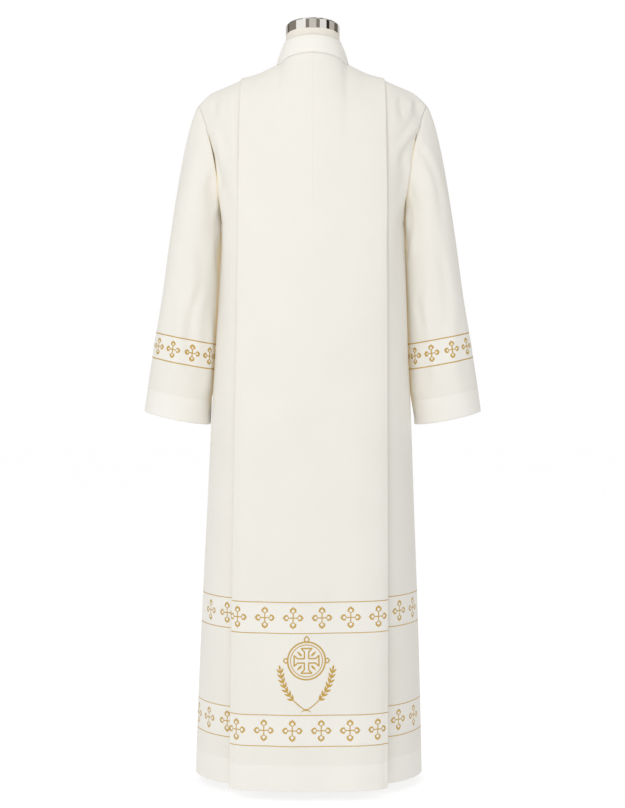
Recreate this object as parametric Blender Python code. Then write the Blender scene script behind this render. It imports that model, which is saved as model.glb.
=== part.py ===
"""An alb with a pleated back, worn on a floor-standing dress form.

Metres, +Z up. The origin is the centre of the base plate's underside, on the floor.
The garment's back faces -Y and its front +Y. Its wide box pleat runs down the middle of the back.
Every cloth piece is a wall round a middle surface, which a few named sizes and short tables give.
"""

import math
from collections import namedtuple

import bpy
import numpy as np
from mathutils import Vector
from mathutils.bvhtree import BVHTree

# Cloth
WALL = 0.0012
HEM_EXTRA = 0.0006
COLLAR_WALL = 0.0020
SEAM_GAP = 0.0003

# Heights of the garment above the floor
HEM_HEIGHT = 0.018
ARMPIT_HEIGHT = 1.135

# How far the skirt hangs to one side at its hem
SKIRT_SWAY = -0.0082

# Neck ring, where the collar is sewn on
NECK_HALF_WIDTH = 0.0735
NECK_BACK = 0.0595
NECK_FRONT = 0.0640
NECK_RISE_BACK = 0.0158
NECK_RISE_FRONT = -0.0240

# Collar's upper edge
COLLAR_HALF_WIDTH = 0.0588
COLLAR_BACK = 0.0572
COLLAR_FRONT = 0.0588
COLLAR_BACK_HEIGHT = 1.5120
COLLAR_SIDE_HEIGHT = 1.5040
COLLAR_FRONT_HEIGHT = 1.4880
COLLAR_SEAT = 0.0022
COLLAR_BULGE = 0.0012

# Box pleat of the back
UNDERLAP = 0.045
PANEL_TOP_HALF_WIDTH = 0.1460
PLEAT_TOP_STEP = 0.0044
EDGE_DROOP = 0.25
FOLD_RADIUS_TOP = 0.0011
FOLD_RADIUS_HEM = 0.0045

# Front closing: the wearer's left front laps over the right one
LAP_DROP = WALL + HEM_EXTRA + 0.0005

# Shoulder and armhole
SHOULDER_POINT = (0.2325, 1.3780)
ARMHOLE_BACK_LOW = (0.0, -0.075, 0.060)
ARMHOLE_BACK_HIGH = (-0.035, -0.070, -0.090)
ARMHOLE_FRONT_LOW = (0.0, 0.070, 0.060)
ARMHOLE_FRONT_HIGH = (-0.045, 0.072, -0.085)
SHOULDER_BACK_REACH = (0.0, -0.082, -0.006)
SHOULDER_FRONT_REACH = (0.0, 0.072, -0.008)
NAPE_REACH = (0.0, -0.070, -0.035)
THROAT_REACH = (0.0, 0.058, -0.085)

# Sleeve
CUFF_TURN_UP = 0.048
RING_TILT = math.radians(11.5)

# Dress form
FORM_FLOOR = 0.80
FORM_CLEARANCE = 0.0008
NECK_TILT = math.radians(8.0)
CAP_RADIUS = 0.0551
CAP_HEIGHT = 0.0222
POLE_RADIUS = 0.014
SOCKET_RADIUS = POLE_RADIUS + 0.0004
SOCKET_DEPTH = 0.060
BASE_RADIUS = 0.112
BASE_THICKNESS = 0.012
FLANGE_RADIUS = 0.030
FLANGE_HEIGHT = 0.040

# The body of the garment below the armpit. Depths are measured from the plane of the side seams.
BodySection = namedtuple("BodySection", "height half_width panel_half back_depth setback step front_depth")
BODY_SECTIONS = (
    BodySection(0.018, 0.2306, 0.1545, 0.190, 0.018, 0.053, 0.172),
    BodySection(0.160, 0.2266, 0.1540, 0.189, 0.019, 0.050, 0.168),
    BodySection(0.350, 0.2200, 0.1530, 0.185, 0.021, 0.043, 0.161),
    BodySection(0.550, 0.2112, 0.1515, 0.177, 0.022, 0.036, 0.153),
    BodySection(0.750, 0.2030, 0.1500, 0.165, 0.022, 0.027, 0.146),
    BodySection(0.950, 0.1930, 0.1485, 0.153, 0.021, 0.020, 0.141),
    BodySection(1.135, 0.1865, 0.1475, 0.141, 0.020, 0.014, 0.138),
)

# The shoulder seam seen from behind, under the panel: its height at each distance from the centre
RidgePoint = namedtuple("RidgePoint", "out height")
SHOULDER_RIDGE = (
    RidgePoint(0.0735, 1.4570),
    RidgePoint(0.1066, 1.4408),
    RidgePoint(0.1270, 1.4342),
    RidgePoint(0.1480, 1.4287),
    RidgePoint(0.1750, 1.4175),
    RidgePoint(0.1915, 1.4105),
    RidgePoint(0.2080, 1.4020),
    RidgePoint(0.2220, 1.3900),
    RidgePoint(0.2325, 1.3780),
)

# The sleeve below the armhole: the middle of each ring, and its half sizes across and front to back
SleeveRing = namedtuple("SleeveRing", "height out forward half_width half_depth lean")
SLEEVE_RINGS = (
    SleeveRing(1.0600, 0.2450, -0.010, 0.0515, 0.0570, 0.02),
    SleeveRing(0.9800, 0.2523, -0.004, 0.0555, 0.0590, 0.03),
    SleeveRing(0.9000, 0.2612, 0.003, 0.0603, 0.0605, 0.05),
    SleeveRing(0.8200, 0.2701, 0.011, 0.0648, 0.0625, 0.07),
    SleeveRing(0.7413, 0.2781, 0.020, 0.0690, 0.0655, 0.09),
)

# Soft vertical folds of the hanging cloth: the place across is a share of the stretch named
SoftFold = namedtuple("SoftFold", "stretch place width depth top")
SOFT_FOLDS = (
    SoftFold("panel", -0.58, 0.16, -0.0026, 1.30),
    SoftFold("panel", -0.20, 0.14, 0.0014, 1.10),
    SoftFold("panel", 0.26, 0.16, -0.0016, 1.15),
    SoftFold("panel", 0.62, 0.15, 0.0024, 1.25),
    SoftFold("side", -0.55, 0.22, 0.0040, 1.05),
    SoftFold("side", 0.48, 0.24, 0.0042, 1.05),
    SoftFold("front", -0.66, 0.13, 0.0048, 1.20),
    SoftFold("front", -0.34, 0.10, -0.0034, 1.10),
    SoftFold("front", 0.30, 0.11, -0.0036, 1.15),
    SoftFold("front", 0.62, 0.14, 0.0050, 1.20),
)

# The form's torso and neck, from the bottom up
FormRing = namedtuple("FormRing", "height half_width back front tilt")
FORM_RINGS = (
    FormRing(0.800, 0.1620, 0.108, 0.104, 0.0),
    FormRing(0.860, 0.1680, 0.116, 0.108, 0.0),
    FormRing(0.950, 0.1600, 0.108, 0.104, 0.0),
    FormRing(1.040, 0.1480, 0.094, 0.100, 0.0),
    FormRing(1.120, 0.1540, 0.096, 0.108, 0.0),
    FormRing(1.200, 0.1660, 0.106, 0.116, 0.0),
    FormRing(1.270, 0.1790, 0.106, 0.110, 0.0),
    FormRing(1.320, 0.1900, 0.094, 0.092, 0.0),
    FormRing(1.350, 0.1970, 0.082, 0.076, 0.0),
    FormRing(1.370, 0.2000, 0.074, 0.068, 0.0),
    FormRing(1.385, 0.2000, 0.068, 0.062, 0.0),
    FormRing(1.397, 0.2000, 0.064, 0.058, 0.0),
    FormRing(1.407, 0.1900, 0.061, 0.056, 0.0),
    FormRing(1.416, 0.1760, 0.059, 0.055, 0.0),
    FormRing(1.425, 0.1540, 0.058, 0.054, 0.05),
    FormRing(1.433, 0.1310, 0.057, 0.051, 0.1),
    FormRing(1.440, 0.1110, 0.056, 0.050, 0.2),
    FormRing(1.447, 0.0860, 0.052, 0.049, 0.3),
    FormRing(1.455, 0.0710, 0.051, 0.049, 0.45),
    FormRing(1.464, 0.0650, 0.0540, 0.0540, 0.6),
    FormRing(1.477, 0.0620, 0.0550, 0.0545, 0.8),
    FormRing(1.494, 0.0575, 0.0548, 0.0545, 1.0),
    FormRing(1.508, 0.0558, 0.0545, 0.0540, 1.0),
    FormRing(1.5195, 0.0545, 0.0545, 0.0545, 1.0),
)

SKIRT_HEIGHTS = (0.018, 0.068, 0.0695, 0.15, 0.25, 0.35, 0.46, 0.57, 0.68, 0.79, 0.89, 0.98, 1.06, 1.135)
YOKE_SHARES = (0.09, 0.20, 0.32, 0.45, 0.58, 0.70, 0.81, 0.91, 1.0)
NECKLINE_STEPS = 6
SHOULDER_STEPS = 6
HAIRPIN_STEPS = 4
UNDERLAY_STEPS = 2
RUN_STEPS = 2
SIDE_STEPS = 8
FRONT_STEPS = 9
SLEEVE_SIDES = 24
CAP_STEPS = 7
FORM_SIDES = 40

# What each piece is made of
Look = namedtuple("Look", "colour roughness metallic")
CLOTH = Look((0.86, 0.84, 0.78, 1.0), 0.8, 0.0)
JERSEY = Look((0.80, 0.74, 0.64, 1.0), 0.9, 0.0)
CHROME = Look((0.75, 0.74, 0.71, 1.0), 0.1, 1.0)
SATIN_STEEL = Look((0.62, 0.61, 0.58, 1.0), 0.35, 1.0)


def clear_scene():
    for item in list(bpy.data.objects):
        bpy.data.objects.remove(item)


def material(name, look):
    made = bpy.data.materials.new(name)
    made.use_nodes = True
    shader = made.node_tree.nodes["Principled BSDF"]
    shader.inputs["Base Color"].default_value = look.colour
    shader.inputs["Roughness"].default_value = look.roughness
    shader.inputs["Metallic"].default_value = look.metallic
    made.diffuse_color = look.colour
    return made


def smooth_step(share):
    share = min(1.0, max(0.0, share))
    return share * share * (3 - 2 * share)


def table_at(rows, key, value):
    """The table's row at a value of its key column, on a smooth curve through the rows."""
    keys = [getattr(row, key) for row in rows]
    order = 1 if keys[-1] > keys[0] else -1
    keys = [order * k for k in keys]
    value = min(max(order * value, keys[0]), keys[-1])
    i = min(max(k for k in range(len(keys)) if keys[k] <= value), len(keys) - 2)
    grid = np.array([list(row) for row in rows], float)
    before, after = max(i - 1, 0), min(i + 2, len(keys) - 1)
    span = keys[i + 1] - keys[i]
    slope_in = (grid[i + 1] - grid[before]) / (keys[i + 1] - keys[before])
    slope_out = (grid[after] - grid[i]) / (keys[after] - keys[i])
    u = (value - keys[i]) / span
    blend = (2 * u**3 - 3 * u**2 + 1) * grid[i] + (3 * u**2 - 2 * u**3) * grid[i + 1]
    blend = blend + span * ((u**3 - 2 * u**2 + u) * slope_in + (u**3 - u**2) * slope_out)
    return type(rows[0])(*blend)


def bezier(start, first, second, end, share):
    rest = 1 - share
    return (
        rest**3 * start
        + 3 * rest**2 * share * first
        + 3 * rest * share**2 * second
        + share**3 * end
    )


def fold_lift(stretch, place, height):
    """How far the soft folds push the cloth out, at a place across a stretch and at a height."""
    total = 0.0
    for fold in SOFT_FOLDS:
        if fold.stretch != stretch:
            continue
        across = math.exp(-(((place - fold.place) / fold.width) ** 2))
        down = smooth_step((fold.top - height) / (fold.top - HEM_HEIGHT))
        total += fold.depth * across * down
    return total


def back_base(lateral, section):
    """A point of the back's under layer in plan. Lateral is 0 at the centre, 1 under the panel's edge and
    2 at the side seam."""
    edge_depth = section.back_depth - section.setback - section.step
    if lateral <= 1:
        out = lateral * section.panel_half
        return np.array((out, -(section.back_depth - section.step - section.setback * lateral**2)))
    start = np.array((section.panel_half, -edge_depth))
    end = np.array((section.half_width, 0.0))
    along = 0.31 * (section.half_width - section.panel_half)
    first = start + along * np.array((1.0, 2 * section.setback / section.panel_half))
    second = end - np.array((0.0, 0.40 * edge_depth))
    return bezier(start, first, second, end, lateral - 1)


NECK_LATERAL = NECK_HALF_WIDTH / PANEL_TOP_HALF_WIDTH


def trimmed_share(curve, side, edge):
    """The share of a column's curve that is left where the neckline cuts it, edge deep from the seam."""
    short, far = 0.3, 1.0
    for _ in range(24):
        middle = (short + far) / 2
        if side * bezier(*curve, middle)[1] > edge:
            short = middle
        else:
            far = middle
    return short


def yoke_curve(lateral, side, low, low_reach):
    """The four points of the curve that carries one column from the armpit's height up to the shoulder
    seam, and the share of it that the neckline leaves. Side is -1 for the back and 1 for the front. Inside
    the neck ring the columns run on to a crown, whose height is found from the neckline's own height."""
    if lateral <= 1:
        out = lateral * PANEL_TOP_HALF_WIDTH
    else:
        out = PANEL_TOP_HALF_WIDTH + (lateral - 1) * (SHOULDER_POINT[0] - PANEL_TOP_HALF_WIDTH)
    reach = np.array(SHOULDER_BACK_REACH if side < 0 else SHOULDER_FRONT_REACH)
    inside = max(0.0, 1 - (lateral / NECK_LATERAL) ** 2)
    reach = reach + (np.array(NAPE_REACH if side < 0 else THROAT_REACH) - reach) * inside**2
    if lateral > 1:
        share = lateral - 1
        arm_low = np.array(ARMHOLE_BACK_LOW if side < 0 else ARMHOLE_FRONT_LOW)
        arm_high = np.array(ARMHOLE_BACK_HIGH if side < 0 else ARMHOLE_FRONT_HIGH)
        low_reach = low_reach + (arm_low - low_reach) * share**2
        reach = reach + (arm_high - reach) * share**2

    def curve_to(height):
        end = np.array((out, side * SEAM_GAP / 2, height))
        return low, low + low_reach, end + reach, end

    if not inside:
        return curve_to(table_at(SHOULDER_RIDGE, "out", out).height), 1.0
    edge = (NECK_BACK if side < 0 else NECK_FRONT) * math.sqrt(inside)
    neckline = SHOULDER_RIDGE[0].height + (NECK_RISE_BACK if side < 0 else NECK_RISE_FRONT) * inside
    under, over = neckline - 0.06, neckline + 0.14
    for _ in range(24):
        crown = (under + over) / 2
        curve = curve_to(crown)
        share = trimmed_share(curve, side, edge)
        if bezier(*curve, share)[2] < neckline:
            under = crown
        else:
            over = crown
    return curve, share


def lifted(point, tangent, lift):
    """The point moved out of the cloth by lift, across the tangent of its column and level with it in X."""
    out = np.array((0.0, -tangent[2], tangent[1]))
    return point + lift * out / np.linalg.norm(out)


def back_point(lateral, lift, row):
    kind, value = row
    if kind == "skirt":
        section = table_at(BODY_SECTIONS, "height", value)
        x, y = back_base(lateral, section)
        return np.array((x, y - lift, value))
    section = table_at(BODY_SECTIONS, "height", ARMPIT_HEIGHT)
    below = table_at(BODY_SECTIONS, "height", ARMPIT_HEIGHT - 0.02)
    x, y = back_base(lateral, section)
    lean = (y - back_base(lateral, below)[1]) / 0.02
    low = np.array((x, y, ARMPIT_HEIGHT))
    curve, whole = yoke_curve(lateral, -1, low, np.array((0.0, 0.11 * lean, 0.11)))
    here = bezier(*curve, value * whole)
    step = here - bezier(*curve, value * whole - 0.01)
    return lifted(here, step, lift)


def pleat_path(panel_half, step, radius):
    """The cloth's path across one half of the back, as pairs of lateral and lift, from the centre to the
    side seam: the panel, its outer fold, the layer turned under, the inner fold, and the side of the back."""
    path = []
    edge = (panel_half - radius) / panel_half
    droop = EDGE_DROOP * (step - PLEAT_TOP_STEP)
    for i in range(NECKLINE_STEPS + 1):
        path.append((NECK_LATERAL * math.sin(math.pi / 2 * i / NECKLINE_STEPS), step))
    for i in range(1, SHOULDER_STEPS + 1):
        lateral = NECK_LATERAL + (edge - NECK_LATERAL) * i / SHOULDER_STEPS
        path.append((lateral, step - droop * (lateral / edge) ** 12))
    step -= droop
    for i in range(1, HAIRPIN_STEPS + 1):
        turn = math.pi / 2 - math.pi * i / HAIRPIN_STEPS
        out = panel_half - radius + radius * math.cos(turn)
        path.append((out / panel_half, step - radius + radius * math.sin(turn)))
    inner = panel_half - UNDERLAP + radius
    for i in range(1, UNDERLAY_STEPS + 1):
        share = i / UNDERLAY_STEPS
        out = panel_half - radius + (inner - panel_half + radius) * share
        path.append((out / panel_half, (step - 2 * radius) * (1 - share) + 2 * radius * share))
    for i in range(1, HAIRPIN_STEPS + 1):
        turn = math.pi / 2 - math.pi * i / HAIRPIN_STEPS
        path.append(((inner - radius * math.cos(turn)) / panel_half, radius + radius * math.sin(turn)))
    for i in range(1, RUN_STEPS + 1):
        path.append(((inner + (panel_half - inner) * i / RUN_STEPS) / panel_half, 0.0))
    for i in range(1, SIDE_STEPS + 1):
        path.append((1 + i / SIDE_STEPS, 0.0))
    return path


def row_sizes(row):
    """Panel half width, pleat step and fold radius on one row of the back."""
    kind, value = row
    if kind == "skirt":
        section = table_at(BODY_SECTIONS, "height", value)
        share = (ARMPIT_HEIGHT - value) / (ARMPIT_HEIGHT - HEM_HEIGHT)
        radius = FOLD_RADIUS_TOP + (FOLD_RADIUS_HEM - FOLD_RADIUS_TOP) * (0.25 + 0.75 * share)
        return section.panel_half, section.step, radius
    section = table_at(BODY_SECTIONS, "height", ARMPIT_HEIGHT)
    share = smooth_step(value)
    step = section.step + (PLEAT_TOP_STEP - section.step) * share
    start = FOLD_RADIUS_TOP + (FOLD_RADIUS_HEM - FOLD_RADIUS_TOP) * 0.25
    radius = start + (FOLD_RADIUS_TOP - start) * share
    return section.panel_half + (PANEL_TOP_HALF_WIDTH - section.panel_half) * share, step, radius


def rows_of_garment():
    return [("skirt", h) for h in SKIRT_HEIGHTS] + [("yoke", t) for t in YOKE_SHARES]


def swayed(grid):
    """The grid with its skirt hung to one side, most at the hem."""
    down = np.clip(ARMPIT_HEIGHT - grid[..., 2], 0, None) / (ARMPIT_HEIGHT - HEM_HEIGHT)
    grid[..., 0] += SKIRT_SWAY * down
    return grid


def back_grid():
    grid = []
    for row in rows_of_garment():
        panel_half, step, radius = row_sizes(row)
        path = pleat_path(panel_half, step, radius)
        half = {}
        for hand in (-1, 1):
            points = []
            for index, (lateral, lift) in enumerate(path):
                if row[0] == "skirt":
                    if index <= NECKLINE_STEPS + SHOULDER_STEPS:
                        lift = lift + fold_lift("panel", hand * lateral, row[1])
                    if lateral > 1:
                        lift = lift + fold_lift("side", hand * (lateral - 1), row[1]) * (2 - lateral)
                points.append(back_point(min(lateral, 2.0), lift, row) * np.array((hand, 1, 1)))
            half[hand] = points
        grid.append(half[-1][::-1] + half[1][1:])
    return swayed(np.array(grid))


def front_point(lateral, row, hand, drop):
    """A point of a front. Lateral is 0 at the centre and 2 at the side seam; below 0 it is the lap."""
    kind, value = row
    side = abs(lateral)
    flip = -1 if lateral < 0 else 1
    section = table_at(BODY_SECTIONS, "height", value if kind == "skirt" else ARMPIT_HEIGHT)
    turn = math.pi / 2 * min(1.0, side / 2)
    x = section.half_width * math.sin(turn) ** 0.92
    y = section.front_depth * math.cos(turn) ** 0.88
    if kind == "skirt":
        y += fold_lift("front", hand * flip * side / 2, value)
        return np.array((flip * x, y - drop, value))
    low = np.array((x, y, ARMPIT_HEIGHT))
    curve, whole = yoke_curve(side, 1, low, np.array((0.0, 0.0, 0.11)))
    here = bezier(*curve, value * whole)
    step = here - bezier(*curve, value * whole - 0.01)
    raised = PLEAT_TOP_STEP * smooth_step((1.08 - side) / 0.16) * smooth_step(2 * value - 1)
    outward = np.array((0.0, step[2], -step[1]))
    here = here + (raised - drop) * outward / np.linalg.norm(outward)
    return here * np.array((flip, 1, 1))


def front_grid(hand, drop):
    """One front, from its side seam past the centre by the lap. Drop moves the lap's layer inward."""
    laterals = [2 - i * (2 - NECK_LATERAL) / FRONT_STEPS for i in range(FRONT_STEPS)]
    turns = [math.pi / 2 * i / NECKLINE_STEPS for i in range(NECKLINE_STEPS, 0, -1)]
    laterals += [NECK_LATERAL * math.sin(turn) for turn in turns]
    laterals += [0.06, -0.06, -0.13]
    grid = []
    for row in rows_of_garment():
        points = []
        for lateral in laterals:
            near = smooth_step((0.42 - lateral) / 0.25)
            points.append(front_point(lateral, row, hand, drop * near) * np.array((hand, 1, 1)))
        grid.append(points if hand < 0 else points[::-1])
    return swayed(np.array(grid))


def armhole_point(share, side):
    """A point of the armhole's edge, from the armpit at 0 to the shoulder point at 1."""
    section = table_at(BODY_SECTIONS, "height", ARMPIT_HEIGHT)
    low = np.array((section.half_width, 0.0, ARMPIT_HEIGHT))
    reach = np.array(ARMHOLE_BACK_LOW if side < 0 else ARMHOLE_FRONT_LOW)
    return bezier(*yoke_curve(2.0, side, low, reach)[0], share)


def sleeve_ring(ring, turn):
    """A point of a sleeve's ring. Turn is 0 on the outside, 90 degrees at the back, 180 by the body."""
    across = ring.half_width * math.cos(turn)
    behind = ring.half_depth * math.sin(turn)
    x = ring.out + across * math.cos(RING_TILT)
    y = ring.forward - behind * math.cos(ring.lean)
    z = ring.height + across * math.sin(RING_TILT) - behind * math.sin(ring.lean)
    return np.array((x, y, z))


def sleeve_grid():
    """The right sleeve's middle surface, closed round, from the armhole to the cuff."""
    clear = WALL / 2 + SEAM_GAP
    grid = []
    top, first = SLEEVE_RINGS[0], SLEEVE_RINGS[1]
    for step in range(CAP_STEPS):
        share = step / CAP_STEPS
        ring = []
        for k in range(SLEEVE_SIDES):
            turn = 2 * math.pi * k / SLEEVE_SIDES
            side = -1 if turn <= math.pi else 1
            along = 1 - (turn if side < 0 else 2 * math.pi - turn) / math.pi
            start = armhole_point(along, side)
            sideways = abs(math.sin(turn))
            spread = 0.27 * sideways**2
            outward = np.array((0.60 + spread, 0.30 * side * sideways, spread - 0.82))
            outward = outward / np.linalg.norm(outward)
            start = start + clear * outward
            under = 1 - smooth_step(along / 0.45)
            start = start + under * np.array((WALL + SEAM_GAP, 0.0, 0.0004))
            end = sleeve_ring(top, turn)
            run = sleeve_ring(top, turn) - sleeve_ring(first, turn)
            run = run / np.linalg.norm(run)
            length = np.linalg.norm(end - start)
            near = start + (0.13 + 0.12 * sideways) * length * outward
            ring.append(bezier(start, near, end + 0.42 * length * run, end, share))
        grid.append(ring)
    heights = [r.height for r in SLEEVE_RINGS]
    cuff = heights[-1]
    levels = heights[:-1] + [cuff + CUFF_TURN_UP + 0.0015, cuff + CUFF_TURN_UP, cuff]
    for level in sorted(set(levels), reverse=True):
        ring = table_at(SLEEVE_RINGS, "height", level)
        grid.append([sleeve_ring(ring, 2 * math.pi * k / SLEEVE_SIDES) for k in range(SLEEVE_SIDES)])
    return np.array(grid)


def neck_edge(turn):
    """A point of the finished neckline: turn is 0 at the nape, 90 degrees at the side, 180 at the throat."""
    lateral = NECK_LATERAL * math.sin(turn)
    if turn <= math.pi / 2:
        return back_point(lateral, PLEAT_TOP_STEP, ("yoke", 1.0))
    return front_point(lateral, ("yoke", 1.0), 1, 0.0)


def collar_grid():
    """The stand collar's middle surface, from one end at the throat round the nape to the other."""
    turns = 4 * NECKLINE_STEPS
    grid = []
    start = math.asin(SEAM_GAP / NECK_HALF_WIDTH)
    for share in (0.0, 0.35, 0.7, 1.0):
        ring = []
        for k in range(turns + 1):
            turn = -math.pi + start + 2 * (math.pi - start) * k / turns
            low = neck_edge(abs(turn)) + np.array((0.0, 0.0, COLLAR_SEAT))
            back = math.cos(turn)
            depth = COLLAR_BACK if back > 0 else COLLAR_FRONT
            far = COLLAR_BACK_HEIGHT if back > 0 else COLLAR_FRONT_HEIGHT
            height = COLLAR_SIDE_HEIGHT + (far - COLLAR_SIDE_HEIGHT) * abs(back) ** 1.5
            high = np.array((COLLAR_HALF_WIDTH * math.sin(abs(turn)), -depth * back, height))
            point = low + (high - low) * share
            bulge = COLLAR_BULGE * math.sin(math.pi * share) / NECK_HALF_WIDTH
            point = point * np.array((1 + bulge, 1 + bulge, 1))
            ring.append(point * np.array((1 if turn >= 0 else -1, 1, 1)))
        grid.append(ring)
    return np.array(grid)


def unit(rows):
    return rows / np.maximum(np.linalg.norm(rows, axis=-1, keepdims=True), 1e-12)


def surface_normals(grid, closed):
    """Normals of a grid of points, from the mean directions of the stretches that meet at each point."""
    up = unit(np.diff(grid, axis=0))
    rise = np.concatenate([up[:1], up[:-1] + up[1:], up[-1:]])
    if closed:
        after = unit(np.roll(grid, -1, axis=1) - grid)
        across = after + np.roll(after, 1, axis=1)
    else:
        side = unit(np.diff(grid, axis=1))
        across = np.concatenate([side[:, :1], side[:, :-1] + side[:, 1:], side[:, -1:]], axis=1)
    return unit(np.cross(unit(across), unit(rise)))


def add_object(name, vertices, faces, look):
    mesh = bpy.data.meshes.new(name)
    mesh.from_pydata([tuple(map(float, v)) for v in vertices], [], faces)
    mesh.materials.append(material(name, look))
    mesh.shade_smooth()
    mesh.set_sharp_from_angle(angle=math.radians(50))
    made = bpy.data.objects.new(name, mesh)
    bpy.context.scene.collection.objects.link(made)
    return made


def cloth_wall(name, grid, closed=False, outside=None, inside=None, half=0):
    """A closed wall round a grid of points that runs across, then up. Outside and inside are the wall's
    thickness on each side of the grid, one value a row. Half is -1 for a piece that stays behind the plane
    of the side and shoulder seams, 1 for one in front of it."""
    rows, columns = grid.shape[:2]
    outside = np.full(rows, WALL / 2) if outside is None else np.array(outside)
    inside = np.full(rows, WALL / 2) if inside is None else np.array(inside)
    normals = surface_normals(grid, closed)
    outer = grid + normals * outside[:, None, None]
    inner = grid - normals * inside[:, None, None]
    if half:
        for layer in (outer, inner):
            layer[..., 1] = half * np.maximum(half * layer[..., 1], SEAM_GAP / 2)
    vertices = np.concatenate([outer.reshape(-1, 3), inner.reshape(-1, 3)])
    offset = rows * columns

    def at(r, c, layer):
        return layer * offset + r * columns + c % columns

    faces = []
    last = columns if closed else columns - 1
    for r in range(rows - 1):
        for c in range(last):
            faces.append((at(r, c, 0), at(r, c + 1, 0), at(r + 1, c + 1, 0), at(r + 1, c, 0)))
            faces.append((at(r, c, 1), at(r + 1, c, 1), at(r + 1, c + 1, 1), at(r, c + 1, 1)))
    for c in range(last):
        faces.append((at(0, c, 1), at(0, c + 1, 1), at(0, c + 1, 0), at(0, c, 0)))
        top = rows - 1
        faces.append((at(top, c, 0), at(top, c + 1, 0), at(top, c + 1, 1), at(top, c, 1)))
    if not closed:
        for r in range(rows - 1):
            faces.append((at(r, 0, 1), at(r, 0, 0), at(r + 1, 0, 0), at(r + 1, 0, 1)))
            end = columns - 1
            faces.append((at(r, end, 0), at(r, end, 1), at(r + 1, end, 1), at(r + 1, end, 0)))
    return add_object(name, vertices, faces, CLOTH)


def hem_thickness(rows, turned):
    """The inner half of the wall, a row at a time: the turned-up hem doubles the lowest rows."""
    return [WALL / 2 + (HEM_EXTRA if r < turned else 0.0) for r in range(rows)]


def loft(name, rings, look):
    """A closed solid through rings of points, its two ends filled with a fan."""
    sides = len(rings[0])
    vertices = [p for ring in rings for p in ring]
    faces = []
    for r in range(len(rings) - 1):
        for k in range(sides):
            n = (k + 1) % sides
            faces.append((r * sides + k, r * sides + n, (r + 1) * sides + n, (r + 1) * sides + k))
    for ring, order in ((0, -1), (len(rings) - 1, 1)):
        centre = len(vertices)
        vertices.append(np.mean(rings[ring], axis=0))
        for k in range(sides):
            pair = (ring * sides + k, ring * sides + (k + 1) % sides)
            faces.append((centre, *pair[::order]))
    return add_object(name, vertices, faces, look)


def circle(radius, height, sides=FORM_SIDES):
    return [
        np.array((radius * math.cos(a), radius * math.sin(a), height))
        for a in (2 * math.pi * k / sides for k in range(sides))
    ]


def garment_tree(objects):
    """One search tree of the cloth that the form stands in."""
    points, faces = [], []
    for item in objects:
        start = len(points)
        points += [v.co.copy() for v in item.data.vertices]
        item.data.calc_loop_triangles()
        faces += [tuple(start + v for v in f.vertices) for f in item.data.loop_triangles]
    return BVHTree.FromPolygons(points, faces)


def room(tree, centre, point):
    """The share of the way from centre to point that stays clear of the cloth."""
    reach = point - centre
    way = reach.normalized()
    hit, normal, _, far = tree.ray_cast(centre, way, reach.length + 0.02)
    if hit is None:
        return 1.0
    return min(1.0, (far - FORM_CLEARANCE / max(0.3, abs(normal.dot(way)))) / reach.length)


def form_rings(tree):
    """The form's rings, drawn in by steps wherever the cloth leaves them less room than their own size."""
    centres = [Vector((0.0, 0.0, ring.height)) for ring in FORM_RINGS]
    rings = []
    for ring, centre in zip(FORM_RINGS, centres):
        points = []
        for k in range(FORM_SIDES):
            a = 2 * math.pi * k / FORM_SIDES
            depth = ring.front if math.sin(a) > 0 else ring.back
            x = ring.half_width * math.copysign(abs(math.cos(a)) ** 0.9, math.cos(a))
            y = depth * math.copysign(abs(math.sin(a)) ** 0.9, math.sin(a))
            points.append(centre + Vector((x, y, -y * math.tan(NECK_TILT) * ring.tilt)))
        rings.append(points)
    for _ in range(8):
        shares = [[1.0] * FORM_SIDES for _ in rings]
        for r in range(len(rings) - 1):
            for k in range(FORM_SIDES):
                corners = ((r, k), (r, (k + 1) % FORM_SIDES), (r + 1, k), (r + 1, (k + 1) % FORM_SIDES))
                low_a, low_b, high_a, high_b = (rings[i][j] for i, j in corners)
                middle = (low_a.lerp(low_b, 0.5), high_a.lerp(high_b, 0.5))
                share = 1.0
                for up in (0.0, 0.25, 0.5, 0.75, 1.0):
                    centre = centres[r].lerp(centres[r + 1], up)
                    for low, high in ((low_a, high_a), middle, (low_a, high_b), (low_b, high_a)):
                        share = min(share, room(tree, centre, low.lerp(high, up)))
                for i, j in corners:
                    shares[i][j] = min(shares[i][j], share)
        for r, ring in enumerate(rings):
            rings[r] = [centres[r] + (p - centres[r]) * shares[r][k] for k, p in enumerate(ring)]
    return [[np.array(p) for p in ring] for ring in rings]


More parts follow.
